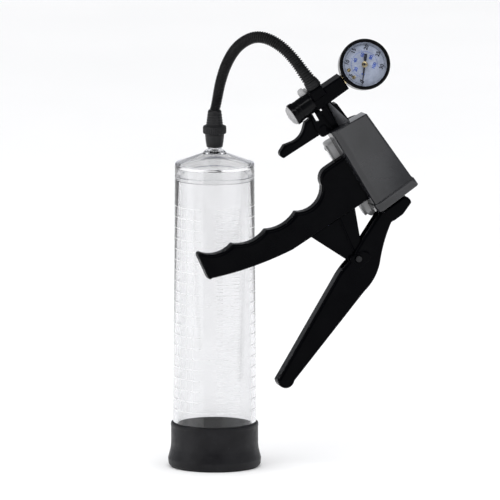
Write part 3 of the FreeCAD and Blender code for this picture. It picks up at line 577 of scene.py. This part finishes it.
turned("coupling_top", "pump", "black_matte", MATTE_BLACK, CHAMBER, [
    (3.75, 252.3),
    (4.8, 252.3),
    (4.8, 266.3),
    (6.9, 266.3, 0.3),
    (6.9, 269.6, 0.5),
    (6.3, 270.2, 0.3),
    (6.55, 271.2, 0.4),
    (6.1, 272.2, 0.3),
    (6.3, 273.2, 0.4),
    (5.85, 274.2, 0.3),
    (6.05, 275.2, 0.4),
    (5.6, 276.2, 0.3),
    (5.8, 277.2, 0.4),
    (5.4, 278.4, 0.4),
    (5.4, 280.0, 0.6),
    (4.7, 281.3, 0.4),
    (1.5, 281.3),
    (1.5, 267.3),
    (3.75, 266.6),
], 0.3, ("coupling_socket",), 72)

turned("coupling_sleeve", "coupling_sleeve", "black_matte", MATTE_BLACK, CHAMBER, [
    (5.1, 251.9, 0.2),
    (6.2, 251.9, 0.6),
    (6.9, 256.0, 2.0),
    (7.6, 262.4, 0.6),
    (9.0, 262.9, 0.6),
    (9.15, 264.0, 0.3),
    (9.15, 267.4, 0.3),
    (8.9, 268.6, 0.5),
    (7.2, 269.0, 0.2),
    (7.2, 263.0, 0.2),
    (5.1, 263.0, 0.2),
], 0.3, ("coupling_collar",), 144, (36, 0.5, 263.2, 267.9))

HOSE_LINE = [
    (0.0, 0.0, 281.0), (1.1, -0.2, 284.6), (2.5, -0.8, 293.0), (4.6, -1.8, 304.0), (9.0, -3.6, 318.2),
    (16.4, -7.0, 331.5), (26.4, -11.0, 339.5), (35.5, -14.4, 341.7), (45.0, -18.0, 339.2),
    (55.0, -21.9, 332.7), (63.4, -24.9, 323.6), (70.2, -26.7, 314.0), (74.9, -26.0, 307.6),
]
route = bpy.data.curves.new("hose_route", "CURVE")
route.dimensions = "3D"
route.resolution_u = 24
spline = route.splines.new("NURBS")
spline.points.add(len(HOSE_LINE) - 1)
for control, place in zip(spline.points, HOSE_LINE):
    control.co = (*[c * MM for c in place], 1.0)
spline.order_u = 3
spline.use_endpoint_u = True
route_object = bpy.data.objects.new("hose_route", route)
line_mesh = bpy.data.meshes.new_from_object(route_object)
hose_path = [v.co.copy() for v in line_mesh.vertices]
bpy.data.objects.remove(route_object)
bpy.data.meshes.remove(line_mesh)


def even(points, gap):
    """Points at even spacing along a line."""
    lengths = [0.0]
    for a, b in zip(points, points[1:]):
        lengths.append(lengths[-1] + (b - a).length)
    count = max(2, round(lengths[-1] / gap))
    spaced, i = [], 0
    for k in range(count + 1):
        want = lengths[-1] * k / count
        while i < len(points) - 2 and lengths[i + 1] < want:
            i += 1
        share = (want - lengths[i]) / max(lengths[i + 1] - lengths[i], 1e-12)
        spaced.append(points[i].lerp(points[i + 1], min(share, 1.0)))
    return spaced, lengths[-1]


def tube(points, radius_at, steps):
    """Rings round a line that turn as little as they can."""
    rings = []
    side = Vector((0.0, 1.0, 0.0))
    for i, point in enumerate(points):
        ahead = points[min(i + 1, len(points) - 1)] - points[max(i - 1, 0)]
        ahead.normalize()
        side = (side - ahead * side.dot(ahead)).normalized()
        other = ahead.cross(side)
        radius = radius_at(i / (len(points) - 1))
        ring = []
        for k in range(steps):
            angle = TURN * k / steps
            ring.append(tuple(point + (side * math.cos(angle) + other * math.sin(angle)) * radius))
        rings.append(ring)
    return rings


RIB_START, RIB_END = 1.15, 2.0
RIB_DEPTH = 0.8
RIB_SQUARENESS = 1.8
SLIM_RADIUS = 4.0
SWELL = 0.75
FLARE, FLARE_START, FLARE_SPAN = 0.8, 0.78, 0.22
hose_points, hose_length = even(hose_path, 0.18 * MM)
mean_pitch = (RIB_START + RIB_END) / 2
rib_count = round(hose_length / MM / mean_pitch)


def hose_radius(share):
    """Moulded rings, closer together and slimmer at the chamber's end."""
    stretch = (RIB_END / RIB_START) ** share
    phase = rib_count * (1 - (RIB_START / RIB_END) ** share) / (1 - RIB_START / RIB_END)
    wave = math.tanh(RIB_SQUARENESS * math.sin(TURN * phase)) / math.tanh(RIB_SQUARENESS)
    flare = max(0.0, (share - FLARE_START) / FLARE_SPAN) ** 2
    outer = SLIM_RADIUS + SWELL * math.tanh(2.5 * share) + FLARE * flare
    depth = RIB_DEPTH * (0.7 + 0.3 * stretch)
    return (outer - depth / 2 + wave * depth / 2) * MM


verts, faces = stacked(tube(hose_points, hose_radius, 48))
hose = add_piece("hose_ribbed", "pump", "ribbed_hose", HOSE_RUBBER, verts, faces, Matrix.Identity(4),
                 ("hose",), 60)
declared_path, _ = even(hose_path, 1.5 * MM)

turned("hose_ferrule", "pump", "black_matte", MATTE_BLACK, at(PUMP, z=7.2), [
    (2.5, 0.0),
    (5.6, 0.0),
    (5.6, 1.4, 0.3),
    (6.2, 1.9, 0.4),
    (6.2, 3.0, 0.4),
    (5.5, 3.4, 0.3),
    (6.1, 4.0, 0.4),
    (6.0, 5.0, 0.4),
    (5.3, 5.5, 0.3),
    (5.8, 6.1, 0.4),
    (5.6, 7.2, 0.4),
    (2.5, 7.2),
], 0.3, ("hose_end_ferrule",), 72)

# ---- pump head ----

AXIS = 5.3
ARM = 7.2
ARM_END = 21.6
HEAD_FOOT = -28.5


def block(x0, x1, z0, z1, y0, y1, edge):
    outline = [(x0, z0), (x1, z0), (x1, z1), (x0, z1)]
    return slab(outline, (y1 - y0) / 2, edge, (y0 + y1) / 2)


arm = slab([(-8.0, -ARM), (4.0, -ARM), (ARM_END, -7.0), (ARM_END, 5.2), (4.0, 5.6), (-8.0, ARM)], 7.0, 1.0)
saddle = block(-6.9, 4.5, 0.8, 8.5, -8.5, 7.0, 0.9)
neck = block(-2.2, 5.0, HEAD_FOOT, -4.0, -0.5, 5.6, 0.5)
left_rib = block(-2.6, -1.2, HEAD_FOOT, -5.0, -6.9, 6.9, 0.4)
gusset_side = [(1.4, -6.5), (2.8, -6.8), (7.6, HEAD_FOOT), (-1.0, HEAD_FOOT)]
gusset = slab(gusset_side, 3.6, 0.3)
lug = slab([(4.6, -10.6), (7.4, -11.6), (8.4, HEAD_FOOT), (4.6, HEAD_FOOT)], 5.2, 0.5)


def slanted(x, y, z):
    return gusset(x, (y + 0.9 * (x - 3.0)) * 0.743, z)


head = union(0.5, union(0.9, arm, saddle), neck, left_rib, lug)
sculpted("head_block", "pump", "black_handle", HANDLE_BLACK, head, (-9, -9.5, -29.5), (23, 9.5, 10), 0.42,
         ("manifold",))
# The neck web is drawn in the mid grey painted highlight, not in the black of the rest of the head.
sculpted("head_web", "pump", "black_matte", NECK_PAINTED_HIGHLIGHT, slanted, (-2, -9.5, -28.8), (8, 9.5, -6), 0.3)

turned("grey_plug", "pump", "grey_plastic", GREY_PLASTIC, at(PUMP, -6.0, 4.6, 8.2, FACE_LEFT), [
    (0.0, 0.0, 0),
    (3.0, 0.0),
    (3.0, 2.0),
    (4.2, 2.2),
    (4.5, 2.8),
    (4.5, 5.0, 0.5),
    (4.0, 6.2, 1.0),
    (2.6, 6.9, 0.8),
    (0.0, 7.2, 0),
], 0.3, ("side_plug",), 96, (24, 0.3, 2.6, 5.2))

turned("head_plate", "pump", "black_handle", HANDLE_BLACK, at(PUMP, 5.3, 0, -34.8), [
    (0.0, 0.0),
    (13.2, 0.0),
    (13.2, 2.0, 0.6),
    (11.4, 4.4, 0.6),
    (0.0, 4.4),
], 0.3, ("barrel_head",), 96)

turned("valve_barrel", "pump", "black_handle", COVER_BLACK, at(PUMP, -7.6, 0, 0, FACE_LEFT), [
    (5.0, 0.0),
    (7.9, 0.0),
    (7.9, 1.0, 0.4),
    (8.2, 1.6, 0.4),
    (8.2, 11.0, 0.3),
    (7.9, 11.6, 0.3),
    (8.2, 12.2, 0.3),
    (8.2, 16.9, 0.3),
    (5.0, 16.9),
], 0.4, ("valve_body",), 96)

turned("valve_cap_ring", "pump", "black_handle", COVER_BLACK, at(PUMP, -22.2, 0, 0, FACE_LEFT), [
    (7.2, 0.0),
    (8.7, 0.0, 0.5),
    (8.9, 2.3, 0.3),
    (8.9, 4.0, 0.5),
    (7.8, 4.3, 0.3),
    (7.2, 3.6, 0.2),
], 0.3, (), 96)

turned("valve_cap_face", "pump", "grey_plastic", GREY_PLASTIC, at(PUMP, -24.0, 0, 0, FACE_LEFT), [
    (0.0, 0.0, 0),
    (7.1, 0.0),
    (8.0, 2.5, 0.4),
    (7.7, 3.5, 0.8),
    (6.4, 4.7, 1.2),
    (5.3, 5.1, 0.3),
    (5.0, 4.6, 0.2),
    (4.6, 5.2, 0.3),
    (2.4, 5.7, 1.0),
    (1.1, 5.8, 0.2),
    (0.9, 5.2, 0.2),
    (0.0, 5.2, 0),
], 0.3, ("valve_end_cap",), 96)

PIVOT_X, PIVOT_Z = -12.5, -21.5
cheek = with_arcs([
    (-2.2, -7.2), (-2.2, -28.2), (-14.4, -27.4), (-17.6, -24.2, -16.7, -26.6), (-18.0, -18.6),
    (-16.0, -9.4), (-8.0, -7.2),
])
short_slot = [(-6.1, -6.9), (-4.9, -7.0), (-4.7, -10.6), (-5.9, -10.4)]
long_slot = [(-12.6, -6.6), (-10.6, -7.7), (-11.1, -16.1), (-13.2, -15.8)]
SLOT_LEAN = (0.13, -0.29)
bracket = union(0.5, slab(cheek, 1.0, 0.45, -5.5), slab(cheek, 1.0, 0.45, 5.5),
                block(-5.2, -2.0, -25.6, -7.0, -6.4, 6.4, 0.4))
stiffener = slab([(-8.1, -11.8), (-7.1, -11.8), (-6.2, -27.0), (-7.2, -27.0)], 1.3, 0.45, -6.4)
bracket = union(0.4, bracket, stiffener, bar((PIVOT_X, -7.2, PIVOT_Z), (PIVOT_X, -4.6, PIVOT_Z), 2.8, 0.4))
bracket = less(0.3, bracket, leaning(slab(short_slot, 12.0, 0.1), *SLOT_LEAN),
               leaning(slab(long_slot, 12.0, 0.1), *SLOT_LEAN))
sculpted("valve_bracket", "pump", "black_handle", HANDLE_BLACK, bracket, (-19, -8, -29), (-1.5, 7.5, -6.5),
         0.35, ("trigger_bracket",))

trigger_side = with_arcs([
    (-50.6, -17.6), (-51.6, -22.6, -52.2, -20.2), (-49.6, -23.6, -50.9, -23.5), (-14.4, -25.1),
    (-8.7, -20.6, -9.8, -24.3), (-9.8, -17.2), (-13.9, -14.6), (-14.0, -9.8), (-21.4, -9.8), (-26.4, -14.2),
    (-38.6, -16.9, -31.8, -16.9),
    (-45.2, -15.2),
])
trigger = union(1.0, slab(trigger_side, 4.1, 1.5), block(-17.2, -14.0, -12.0, -3.0, -2.8, 2.8, 0.4))
trigger = less(0.4, trigger, bar((PIVOT_X, -9, PIVOT_Z), (PIVOT_X, 9, PIVOT_Z), 1.6, 0.1))
sculpted("release_lever", "trigger", "black_handle", HANDLE_BLACK, trigger, (-53, -4.5, -26), (-8, 4.5, -2.5),
         0.45, ("release_trigger",))

# ---- casing ----

CASE_TOP, CASE_FOOT = -27.0, -100.6
HALF_TOP, HALF_FOOT = 15.9, 18.6
TOP_SKEW, FOOT_SKEW = 0.11, -0.03
LID_SLOPE = 0.1
DRAFT = 0.5
DEPTH = 17.0
LIP, LIP_HEIGHT, LIP_BEND = 1.0, 8.0, 0.6
CASE_WALL = 1.8
FAR_CORNER = 1.8
FLANGE_REACH = 4.0
FLANGE_THICK = 1.6
FLANGE_GAP = 0.3
PARTING = 2.0


def casing(name, slot, material, node, back, front, top, overhang, corner, roll):
    """One half of the casing: a tapered shell open below, a lid with a rolled rim, a lip at the foot."""
    outward = 1.0 if front > back else -1.0

    def section(height, grow):
        share = (CASE_TOP - height) / (CASE_TOP - CASE_FOOT)
        half = HALF_TOP + (HALF_FOOT - HALF_TOP) * share + grow
        face = front + outward * grow
        left, right = AXIS - half - overhang, AXIS + half
        bend, far_bend = max(corner + grow, 0.4), max(FAR_CORNER + grow, 0.3)
        points = soften([(left - DRAFT, back, 0), (left + DRAFT, face, bend), (right, face, far_bend),
                         (right, back, 0)], steps=12)
        drop = min(1.0, max(0.0, (height - CASE_TOP + 20.0) / 20.0)) * LID_SLOPE
        skew = TOP_SKEW + (FOOT_SKEW - TOP_SKEW) * share
        return [(x, y, height - skew * (x - AXIS) - drop * (y + DEPTH)) for x, y in points]

    levels = [(CASE_FOOT + 0.5, LIP), (CASE_FOOT + LIP_HEIGHT - 1.6, LIP)]
    for k in range(1, 7):
        angle = math.radians(15 * k)
        height = CASE_FOOT + LIP_HEIGHT - 1.6 + LIP_BEND * math.sin(angle)
        levels.append((height, LIP - LIP_BEND * (1 - math.cos(angle))))
    for k in range(1, 7):
        angle = math.radians(15 * k)
        height = CASE_FOOT + LIP_HEIGHT - 1.0 + LIP_BEND * (1 - math.cos(angle))
        levels.append((height, LIP_BEND * (1 - math.sin(angle))))
    levels.append((top - roll - 0.05, 0.0))
    outer = [section(height, grow) for height, grow in [(CASE_FOOT, LIP - 0.5)] + levels]
    inner = [section(height, -CASE_WALL) for height in [CASE_FOOT] + [level[0] for level in levels]]
    shell = []
    for outside, inside in zip(outer, inner):
        shell.append(outside + inside[::-1])
    lid = []
    for k in range(8):
        angle = math.radians(90 * k / 7)
        lid.append(section(top - roll + roll * math.sin(angle), -roll * (1 - math.cos(angle))))
    solids = [stacked(shell), stacked(lid)]
    if overhang:
        flange = []
        for height, grow in levels:
            ring = section(height, grow)
            level = ring[0][2]
            near = ring[0][0] + FLANGE_GAP
            far = ring[0][0] + overhang + FLANGE_REACH
            flange.append([(near, back, level), (far, back, level),
                           (far, back + FLANGE_THICK, level), (near, back + FLANGE_THICK, level)])
        solids.append(stacked(flange))
    verts, faces = merged(solids)
    return add_piece(name, "pump", slot, material, verts, faces, PUMP, (node,), 50)


casing("casing_front", "black_gloss", CASING_BLACK, "front_cover", PARTING, -DEPTH, CASE_TOP, 0.0, 6.0, 0.9)
casing("casing_rear", "grey_plastic", GREY_PLASTIC, "rear_cover", PARTING + 0.2, DEPTH, -36.5, 6.5, 5.5, 1.4)

rear_foot = with_arcs([
    (-17.3, -95.0), (-17.4, -100.6, -18.2, -97.8), (-13.6, -107.2, -17.6, -104.8), (-10.6, -106.4),
    (-9.0, -95.0),
])
sculpted("rear_foot", "pump", "grey_plastic", GREY_PLASTIC, slab(rear_foot, 2.4, 1.2, 11.4), (-19, 8.5, -108),
         (-8, 14.5, -94), 0.45)

# ---- handles ----

grip_side = with_arcs([
    (-8.0, -49.8), (-27.5, -49.6), (-37.9, -59.4, -35.0, -52.6), (-66.2, -64.6, -49, -68.4),
    (-93.6, -62.4, -79.7, -67.2), (-121.6, -56.0, -107.6, -63.5), (-146.2, -46.8, -135.6, -55.4),
    (-149.8, -48.8, -148.7, -46.9),
    (-152.4, -67), (-150, -69.2, -152.0, -68.8), (-84.5, -88, -118, -80.6), (-13.1, -90.1), (-8.0, -90.1),
])
web_side = with_arcs([
    (-67, -86), (-67, -88.4), (-50.4, -127), (-39.4, -122.3, -44.8, -130.4), (-25, -88.4), (-25, -86),
])
rib = slab([(-41.2, -89.5), (-40.0, -89.5), (-44.8, -118.0), (-46.0, -118.0)], 5.2, 0.4)
grip = union(0.8, slab(grip_side, 6.2, 2.6), slab(web_side, 4.0, 0.8), rib)
grip = less(0.3, grip, bar((-45.7, -9, -124.0), (-45.7, 9, -124.0), 2.45, 0.1))
sculpted("grip_handle", "pump", "black_handle", HANDLE_BLACK, grip, (-153, -8, -131), (-8, 8, -44), 0.65,
         ("grip",))

lever_side = with_arcs([
    (10, -103.8), (13.4, -111.6, 13.6, -107), (3, -115.4), (-8, -115.8), (-31.3, -135.6, -19.2, -124),
    (-55.3, -148.9, -42.6, -144.6), (-140, -175.4), (-150.9, -167.4, -149.4, -176.2), (-70.4, -128.2),
    (-52, -121.6, -61.5, -124.2), (-36, -114), (-12, -103.8),
])
fork_space = slab([(-68.2, -107.1), (-46.6, -152), (30, -152), (30, -90), (-68.2, -90)], 4.4, 0.3)
lever_top = with_arcs([(10, -103.8), (13.4, -111.6, 13.6, -107), (3, -115.4), (-6, -115.6), (-10, -103.8)])
boss_side = with_arcs([(-51.5, -118.6), (-40.3, -121.2), (-40.9, -130.2, -36.6, -126.6), (-49.4, -131.6)])
LEVER_HALF, LEVER_TOP_HALF, BOSS_HALF = 6.9, 8.2, 7.9
boss = slab(soften(boss_side, 1.5), BOSS_HALF, 0.4)
lever = union(0.6, slab(lever_side, LEVER_HALF, 2.2), slab(lever_top, LEVER_TOP_HALF, 1.6), boss)
lever = less(0.4, lever, fork_space, bar((-45.7, -10, -124.0), (-45.7, 10, -124.0), 2.45, 0.1))
sculpted("lever_handle", "moving_handle", "black_handle", HANDLE_BLACK, lever, (-152, -9, -178),
         (15, 9, -102), 0.65, ("lever",))

# ---- gauge ----

DIAL_FACE = 7.0
turned("gauge_cup", "pump", "black_gloss", COVER_BLACK, GAUGE, [
    (0.0, -12.0, 0),
    (18.0, -12.0, 2.0),
    (19.2, -9.5, 1.0),
    (19.2, 4.6, 0.4),
    (18.9, 9.3, 0.2),
    (18.0, 9.3, 0.2),
    (18.0, -10.6, 1.0),
    (0.0, -10.8, 0),
], 0.4, ("gauge_case",), 128, None, 8)
turned("gauge_ring", "pump", "black_gloss", COVER_BLACK, GAUGE, [
    (19.25, 4.8, 0.2),
    (19.9, 4.8, 0.4),
    (20.0, 6.0, 0.3),
    (20.0, 10.6, 1.0),
    (19.2, 12.0, 0.9),
    (17.9, 12.0, 0.6),
    (17.3, 11.2, 0.4),
    (17.3, 10.9, 0.1),
    (18.0, 10.9, 0.1),
    (18.0, 9.4, 0.1),
    (19.25, 9.4, 0.1),
], 0.3, ("gauge_bezel",), 128, None, 8)
turned("gauge_window", "pump", "lens_clear", LENS, GAUGE, [
    (0.0, 9.9, 0),
    (17.9, 9.5, 0.1),
    (17.9, 10.8, 0.1),
    (0.0, 11.3, 0),
], 0.1, ("gauge_lens",), 128)
turned("dial_plate", "pump", "dial_face", DIAL, GAUGE, [
    (0.9, DIAL_FACE - 0.6, 0.1),
    (17.6, DIAL_FACE - 0.6, 0.1),
    (17.6, DIAL_FACE + 0.25, 0.1),
    (17.1, DIAL_FACE + 0.1, 0.2),
    (16.9, DIAL_FACE, 0.2),
    (0.9, DIAL_FACE, 0.1),
], 0.1, ("gauge_dial",), 128)


def stroke(angle, inner, outer, width):
    """A printed line from one radius to another."""
    across = Vector((-math.sin(angle), math.cos(angle), 0)) * width / 2
    along = Vector((math.cos(angle), math.sin(angle), 0))
    ring = [along * inner - across, along * outer - across, along * outer + across, along * inner + across]
    return stacked([[(p.x, p.y, DIAL_FACE + lift) for p in ring] for lift in (-0.02, 0.06)])


def arc_line(radius, start, end, width):
    rings = []
    for k in range(81):
        angle = start + (end - start) * k / 80
        rings.append([(r * math.cos(angle), r * math.sin(angle), DIAL_FACE + lift)
                      for r, lift in ((radius - width / 2, -0.02), (radius + width / 2, -0.02),
                                      (radius + width / 2, 0.06), (radius - width / 2, 0.06))])
    return stacked(rings)


def numeral(text, size, x, y, turn):
    """A printed number, centred on a point of the dial."""
    curve = bpy.data.curves.new("numeral", "FONT")
    curve.body = text
    curve.size = size
    curve.align_x, curve.align_y = "CENTER", "CENTER"
    curve.extrude = 0.04
    curve.offset = LETTER_WEIGHT
    curve.resolution_u = 3
    letter = bpy.data.objects.new("numeral", curve)
    shape = bpy.data.meshes.new_from_object(letter)
    place = Matrix.Translation((x, y, DIAL_FACE + 0.02)) @ Matrix.Rotation(turn, 4, "Z")
    verts = [tuple(place @ v.co) for v in shape.vertices]
    faces = [tuple(p.vertices) for p in shape.polygons]
    bpy.data.objects.remove(letter)
    bpy.data.meshes.remove(shape)
    return verts, faces


POINTER_ANGLE = math.radians(-132.0)
SCALE_SWEEP = math.radians(-270.0)
up_on_dial = math.radians(123.0)


def bearing(share):
    return POINTER_ANGLE + SCALE_SWEEP * share


black_print = [arc_line(15.6, bearing(0), bearing(1), 0.22)]
blue_print = [arc_line(10.2, bearing(0), bearing(1), 0.2)]
for k in range(31):
    major = k % 5 == 0
    black_print.append(stroke(bearing(k / 30), 15.6, 16.9 if major else 16.3, 0.34 if major else 0.16))
for k in range(21):
    major = k % 4 == 0
    blue_print.append(stroke(bearing(k / 20), 10.2, 11.3 if major else 10.8, 0.3 if major else 0.16))
for k in range(7):
    angle = bearing(k / 6)
    x, y = 13.6 * math.cos(angle), 13.6 * math.sin(angle)
    black_print.append(numeral(str(5 * k), 4.1, x, y, up_on_dial - math.pi / 2))
for k in range(6):
    angle = bearing(k / 5)
    x, y = 7.7 * math.cos(angle), 7.7 * math.sin(angle)
    blue_print.append(numeral(str(20 * k), 3.5, x, y, up_on_dial - math.pi / 2))
add_piece("dial_print_black", "pump", "pointer_black", BLACK_INK, *merged(black_print), GAUGE, crease=30,
          close=False)
add_piece("dial_print_blue", "pump", "dial_face", BLUE_INK, *merged(blue_print), GAUGE, crease=30,
          close=False)

screws = []
for y in (-3.4, 3.4):
    head_shape = less(0.1, bar((-12.6, y, DIAL_FACE), (-12.6, y, DIAL_FACE + 0.8), 1.5, 0.25),
                      slab([(-13.9, DIAL_FACE + 0.45), (-11.3, DIAL_FACE + 0.45), (-11.3, 9.0), (-13.9, 9.0)],
                           0.22, 0.02, y))
    screws.append(surface(head_shape, (-14.2, y - 1.6, DIAL_FACE), (-11.0, y + 1.6, DIAL_FACE + 0.8), 0.12))
add_piece("dial_screws", "pump", "brass", BRASS, *merged(screws), GAUGE, ("gauge_dial_screws",), 0.0, False)

hand = [(15.6, -0.3), (16.0, 0.0), (15.6, 0.3), (0.0, 0.8), (-3.0, 0.8), (-3.4, 1.15), (-8.4, 1.15),
        (-8.4, -1.15), (-3.4, -1.15), (-3.0, -0.8), (0.0, -0.8)]
hand_place = at(GAUGE, z=DIAL_FACE + 1.3, turn=Matrix.Rotation(POINTER_ANGLE, 4, "Z"))
rings = []
for lift, shrink in ((0.0, 0.93), (0.06, 1.0), (0.29, 1.0), (0.35, 0.93)):
    rings.append([(x - (1 - shrink) * math.copysign(0.8, x), y * shrink, lift) for x, y in hand])
verts, faces = stacked(rings)
add_piece("gauge_hand", "pointer", "pointer_black", POINTER_BLACK, verts, faces, hand_place,
          ("gauge_pointer",), 30)
turned("hand_hub", "pointer", "brass", BRASS, at(GAUGE, z=DIAL_FACE + 0.1), [
    (0.0, 0.0, 0),
    (1.2, 0.0, 0.1),
    (1.2, 1.2, 0.1),
    (2.4, 1.65, 0.2),
    (2.4, 2.0, 0.2),
    (1.0, 2.3, 0.1),
    (0.9, 1.5, 0.1),
    (0.0, 1.5, 0),
], 0.1, ("pointer_hub",), 64)

# ---- CAD nodes that stay, with better materials ----

KEPT = {
    "nipple_o_ring": SEAL_RUBBER, "coupling_spring": STEEL, "valve_plunger": BRASS, "valve_spring": STEEL,
    "trigger_pin": STEEL, "barrel": GREY_PLASTIC, "barrel_end_plug": MATTE_BLACK,
    "inlet_check_valve": SEAL_RUBBER, "piston": GREY_PLASTIC, "piston_seal": SEAL_RUBBER,
    "exhaust_check_valve": SEAL_RUBBER, "return_spring": STEEL, "piston_rod": GREY_PLASTIC, "rod_pin": STEEL,
    "cover_screws": STEEL, "pivot_pin": MATTE_BLACK, "pivot_clip": MATTE_BLACK, "gauge_stop_pin": DARK_STEEL,
    "gauge_movement": BRASS, "bourdon_tube": BRASS, "gauge_stem": BRASS,
}
for name, material in KEPT.items():
    holder = frame["nodes"][name]
    for socket in holder.material_slots:
        socket.link = "OBJECT"
        socket.material = material

# ---- stage, lights and camera ----

FLOOR_WHITE = finish("floor_white", (0.93, 0.93, 0.935), 0.7, tone=0.01, grain=60.0, depth=0.0001, cloud=3.0)
FLOOR_RADIUS = 3.6
FLOOR_RINGS, FLOOR_SPOKES = 12, 96
rings = [0.0] + [FLOOR_RADIUS * (k / FLOOR_RINGS) ** 1.5 for k in range(1, FLOOR_RINGS + 1)]
floor_verts, floor_faces = [], []
for k in range(FLOOR_SPOKES):
    angle = TURN * k / FLOOR_SPOKES
    for radius in rings:
        floor_verts.append((radius * math.cos(angle), radius * math.sin(angle), 0.0))
for k in range(FLOOR_SPOKES):
    for i in range(len(rings) - 1):
        a, b = k * len(rings) + i, (k + 1) % FLOOR_SPOKES * len(rings) + i
        floor_faces.append((a, b, b + 1, a + 1))
floor_mesh = bpy.data.meshes.new("studio_floor")
floor_mesh.from_pydata(floor_verts, [], floor_faces)
floor_mesh.polygons.foreach_set("use_smooth", [True] * len(floor_mesh.polygons))
floor_mesh.materials.append(FLOOR_WHITE)
floor = bpy.data.objects.new("studio_floor", floor_mesh)
bpy.context.scene.collection.objects.link(floor)


def softbox(name, spot, target, width, height, power, colour=(1.0, 1.0, 1.0), mirrored=True):
    light = bpy.data.lights.new(name, "AREA")
    light.shape = "RECTANGLE"
    light.size, light.size_y = width, height
    light.energy = power
    light.color = colour
    holder = bpy.data.objects.new(name, light)
    holder.location = spot
    holder.rotation_mode = "QUATERNION"
    holder.rotation_quaternion = (Vector(target) - Vector(spot)).to_track_quat("-Z", "Y")
    holder.visible_camera = False
    holder.visible_glossy = mirrored
    bpy.context.scene.collection.objects.link(holder)


centre = (0.06, 0.0, 0.17)
softbox("side_left", (-0.86, -0.55, 0.5), (0.0, -0.1, 0.5), 1.0, 1.0, 3.6)
softbox("side_right", (0.85, -0.7, 0.5), (0.1, -0.1, 0.5), 1.2, 1.0, 2.1, (0.95, 0.97, 1.0))
softbox("overhead", (0.0, 0.5, 2.2), (0.0, 0.5, 0.0), 10.0, 10.0, 350.0, mirrored=False)
softbox("top_strip", (0.0, -1.2, 1.7), centre, 2.4, 0.3, 12.0)

world = bpy.data.worlds.new("studio")
bpy.context.scene.world = world
world.use_nodes = True
sky = world.node_tree.nodes["Background"]
sky.inputs["Color"].default_value = (0.93, 0.95, 1.0, 1.0)
direction = world.node_tree.nodes.new("ShaderNodeTexCoord")
parts_of = world.node_tree.nodes.new("ShaderNodeSeparateXYZ")
SKY_HORIZON, SKY_TOP, SKY_FADE = 1.0, 0.1, 0.45
NEAR_SIDE, NEAR_FROM, NEAR_TO = 0.12, -0.75, -0.1
glow = world.node_tree.nodes.new("ShaderNodeMapRange")
glow.inputs["From Min"].default_value = 0.0
glow.inputs["From Max"].default_value = SKY_FADE
glow.inputs["To Min"].default_value = SKY_HORIZON
glow.inputs["To Max"].default_value = SKY_TOP
world.node_tree.links.new(direction.outputs["Generated"], parts_of.inputs["Vector"])
world.node_tree.links.new(parts_of.outputs["Z"], glow.inputs["Value"])
behind = world.node_tree.nodes.new("ShaderNodeMapRange")
behind.inputs["From Min"].default_value = NEAR_FROM
behind.inputs["From Max"].default_value = NEAR_TO
behind.inputs["To Min"].default_value = NEAR_SIDE
behind.inputs["To Max"].default_value = 1.0
world.node_tree.links.new(parts_of.outputs["Y"], behind.inputs["Value"])
shade = world.node_tree.nodes.new("ShaderNodeMath")
shade.operation = "MULTIPLY"
world.node_tree.links.new(glow.outputs["Result"], shade.inputs[0])
world.node_tree.links.new(behind.outputs["Result"], shade.inputs[1])
world.node_tree.links.new(shade.outputs["Value"], sky.inputs["Strength"])
bpy.context.scene.view_settings.view_transform = "Standard"

VIEW_WIDTH = 0.390
STAND_BACK = 1.2
ELEVATION = math.radians(9.5)
AIM = Vector((0.0276, 0.0, 0.1704))
back = Vector((0.0, -math.cos(ELEVATION), math.sin(ELEVATION)))
camera_data = bpy.data.cameras.new("camera")
camera_data.type = "ORTHO"
camera_data.ortho_scale = VIEW_WIDTH
camera = bpy.data.objects.new("camera", camera_data)
camera.location = AIM + back * STAND_BACK
camera.rotation_mode = "QUATERNION"
camera.rotation_quaternion = (-back).to_track_quat("-Z", "Y")
bpy.context.scene.collection.objects.link(camera)
bpy.context.scene.camera = camera
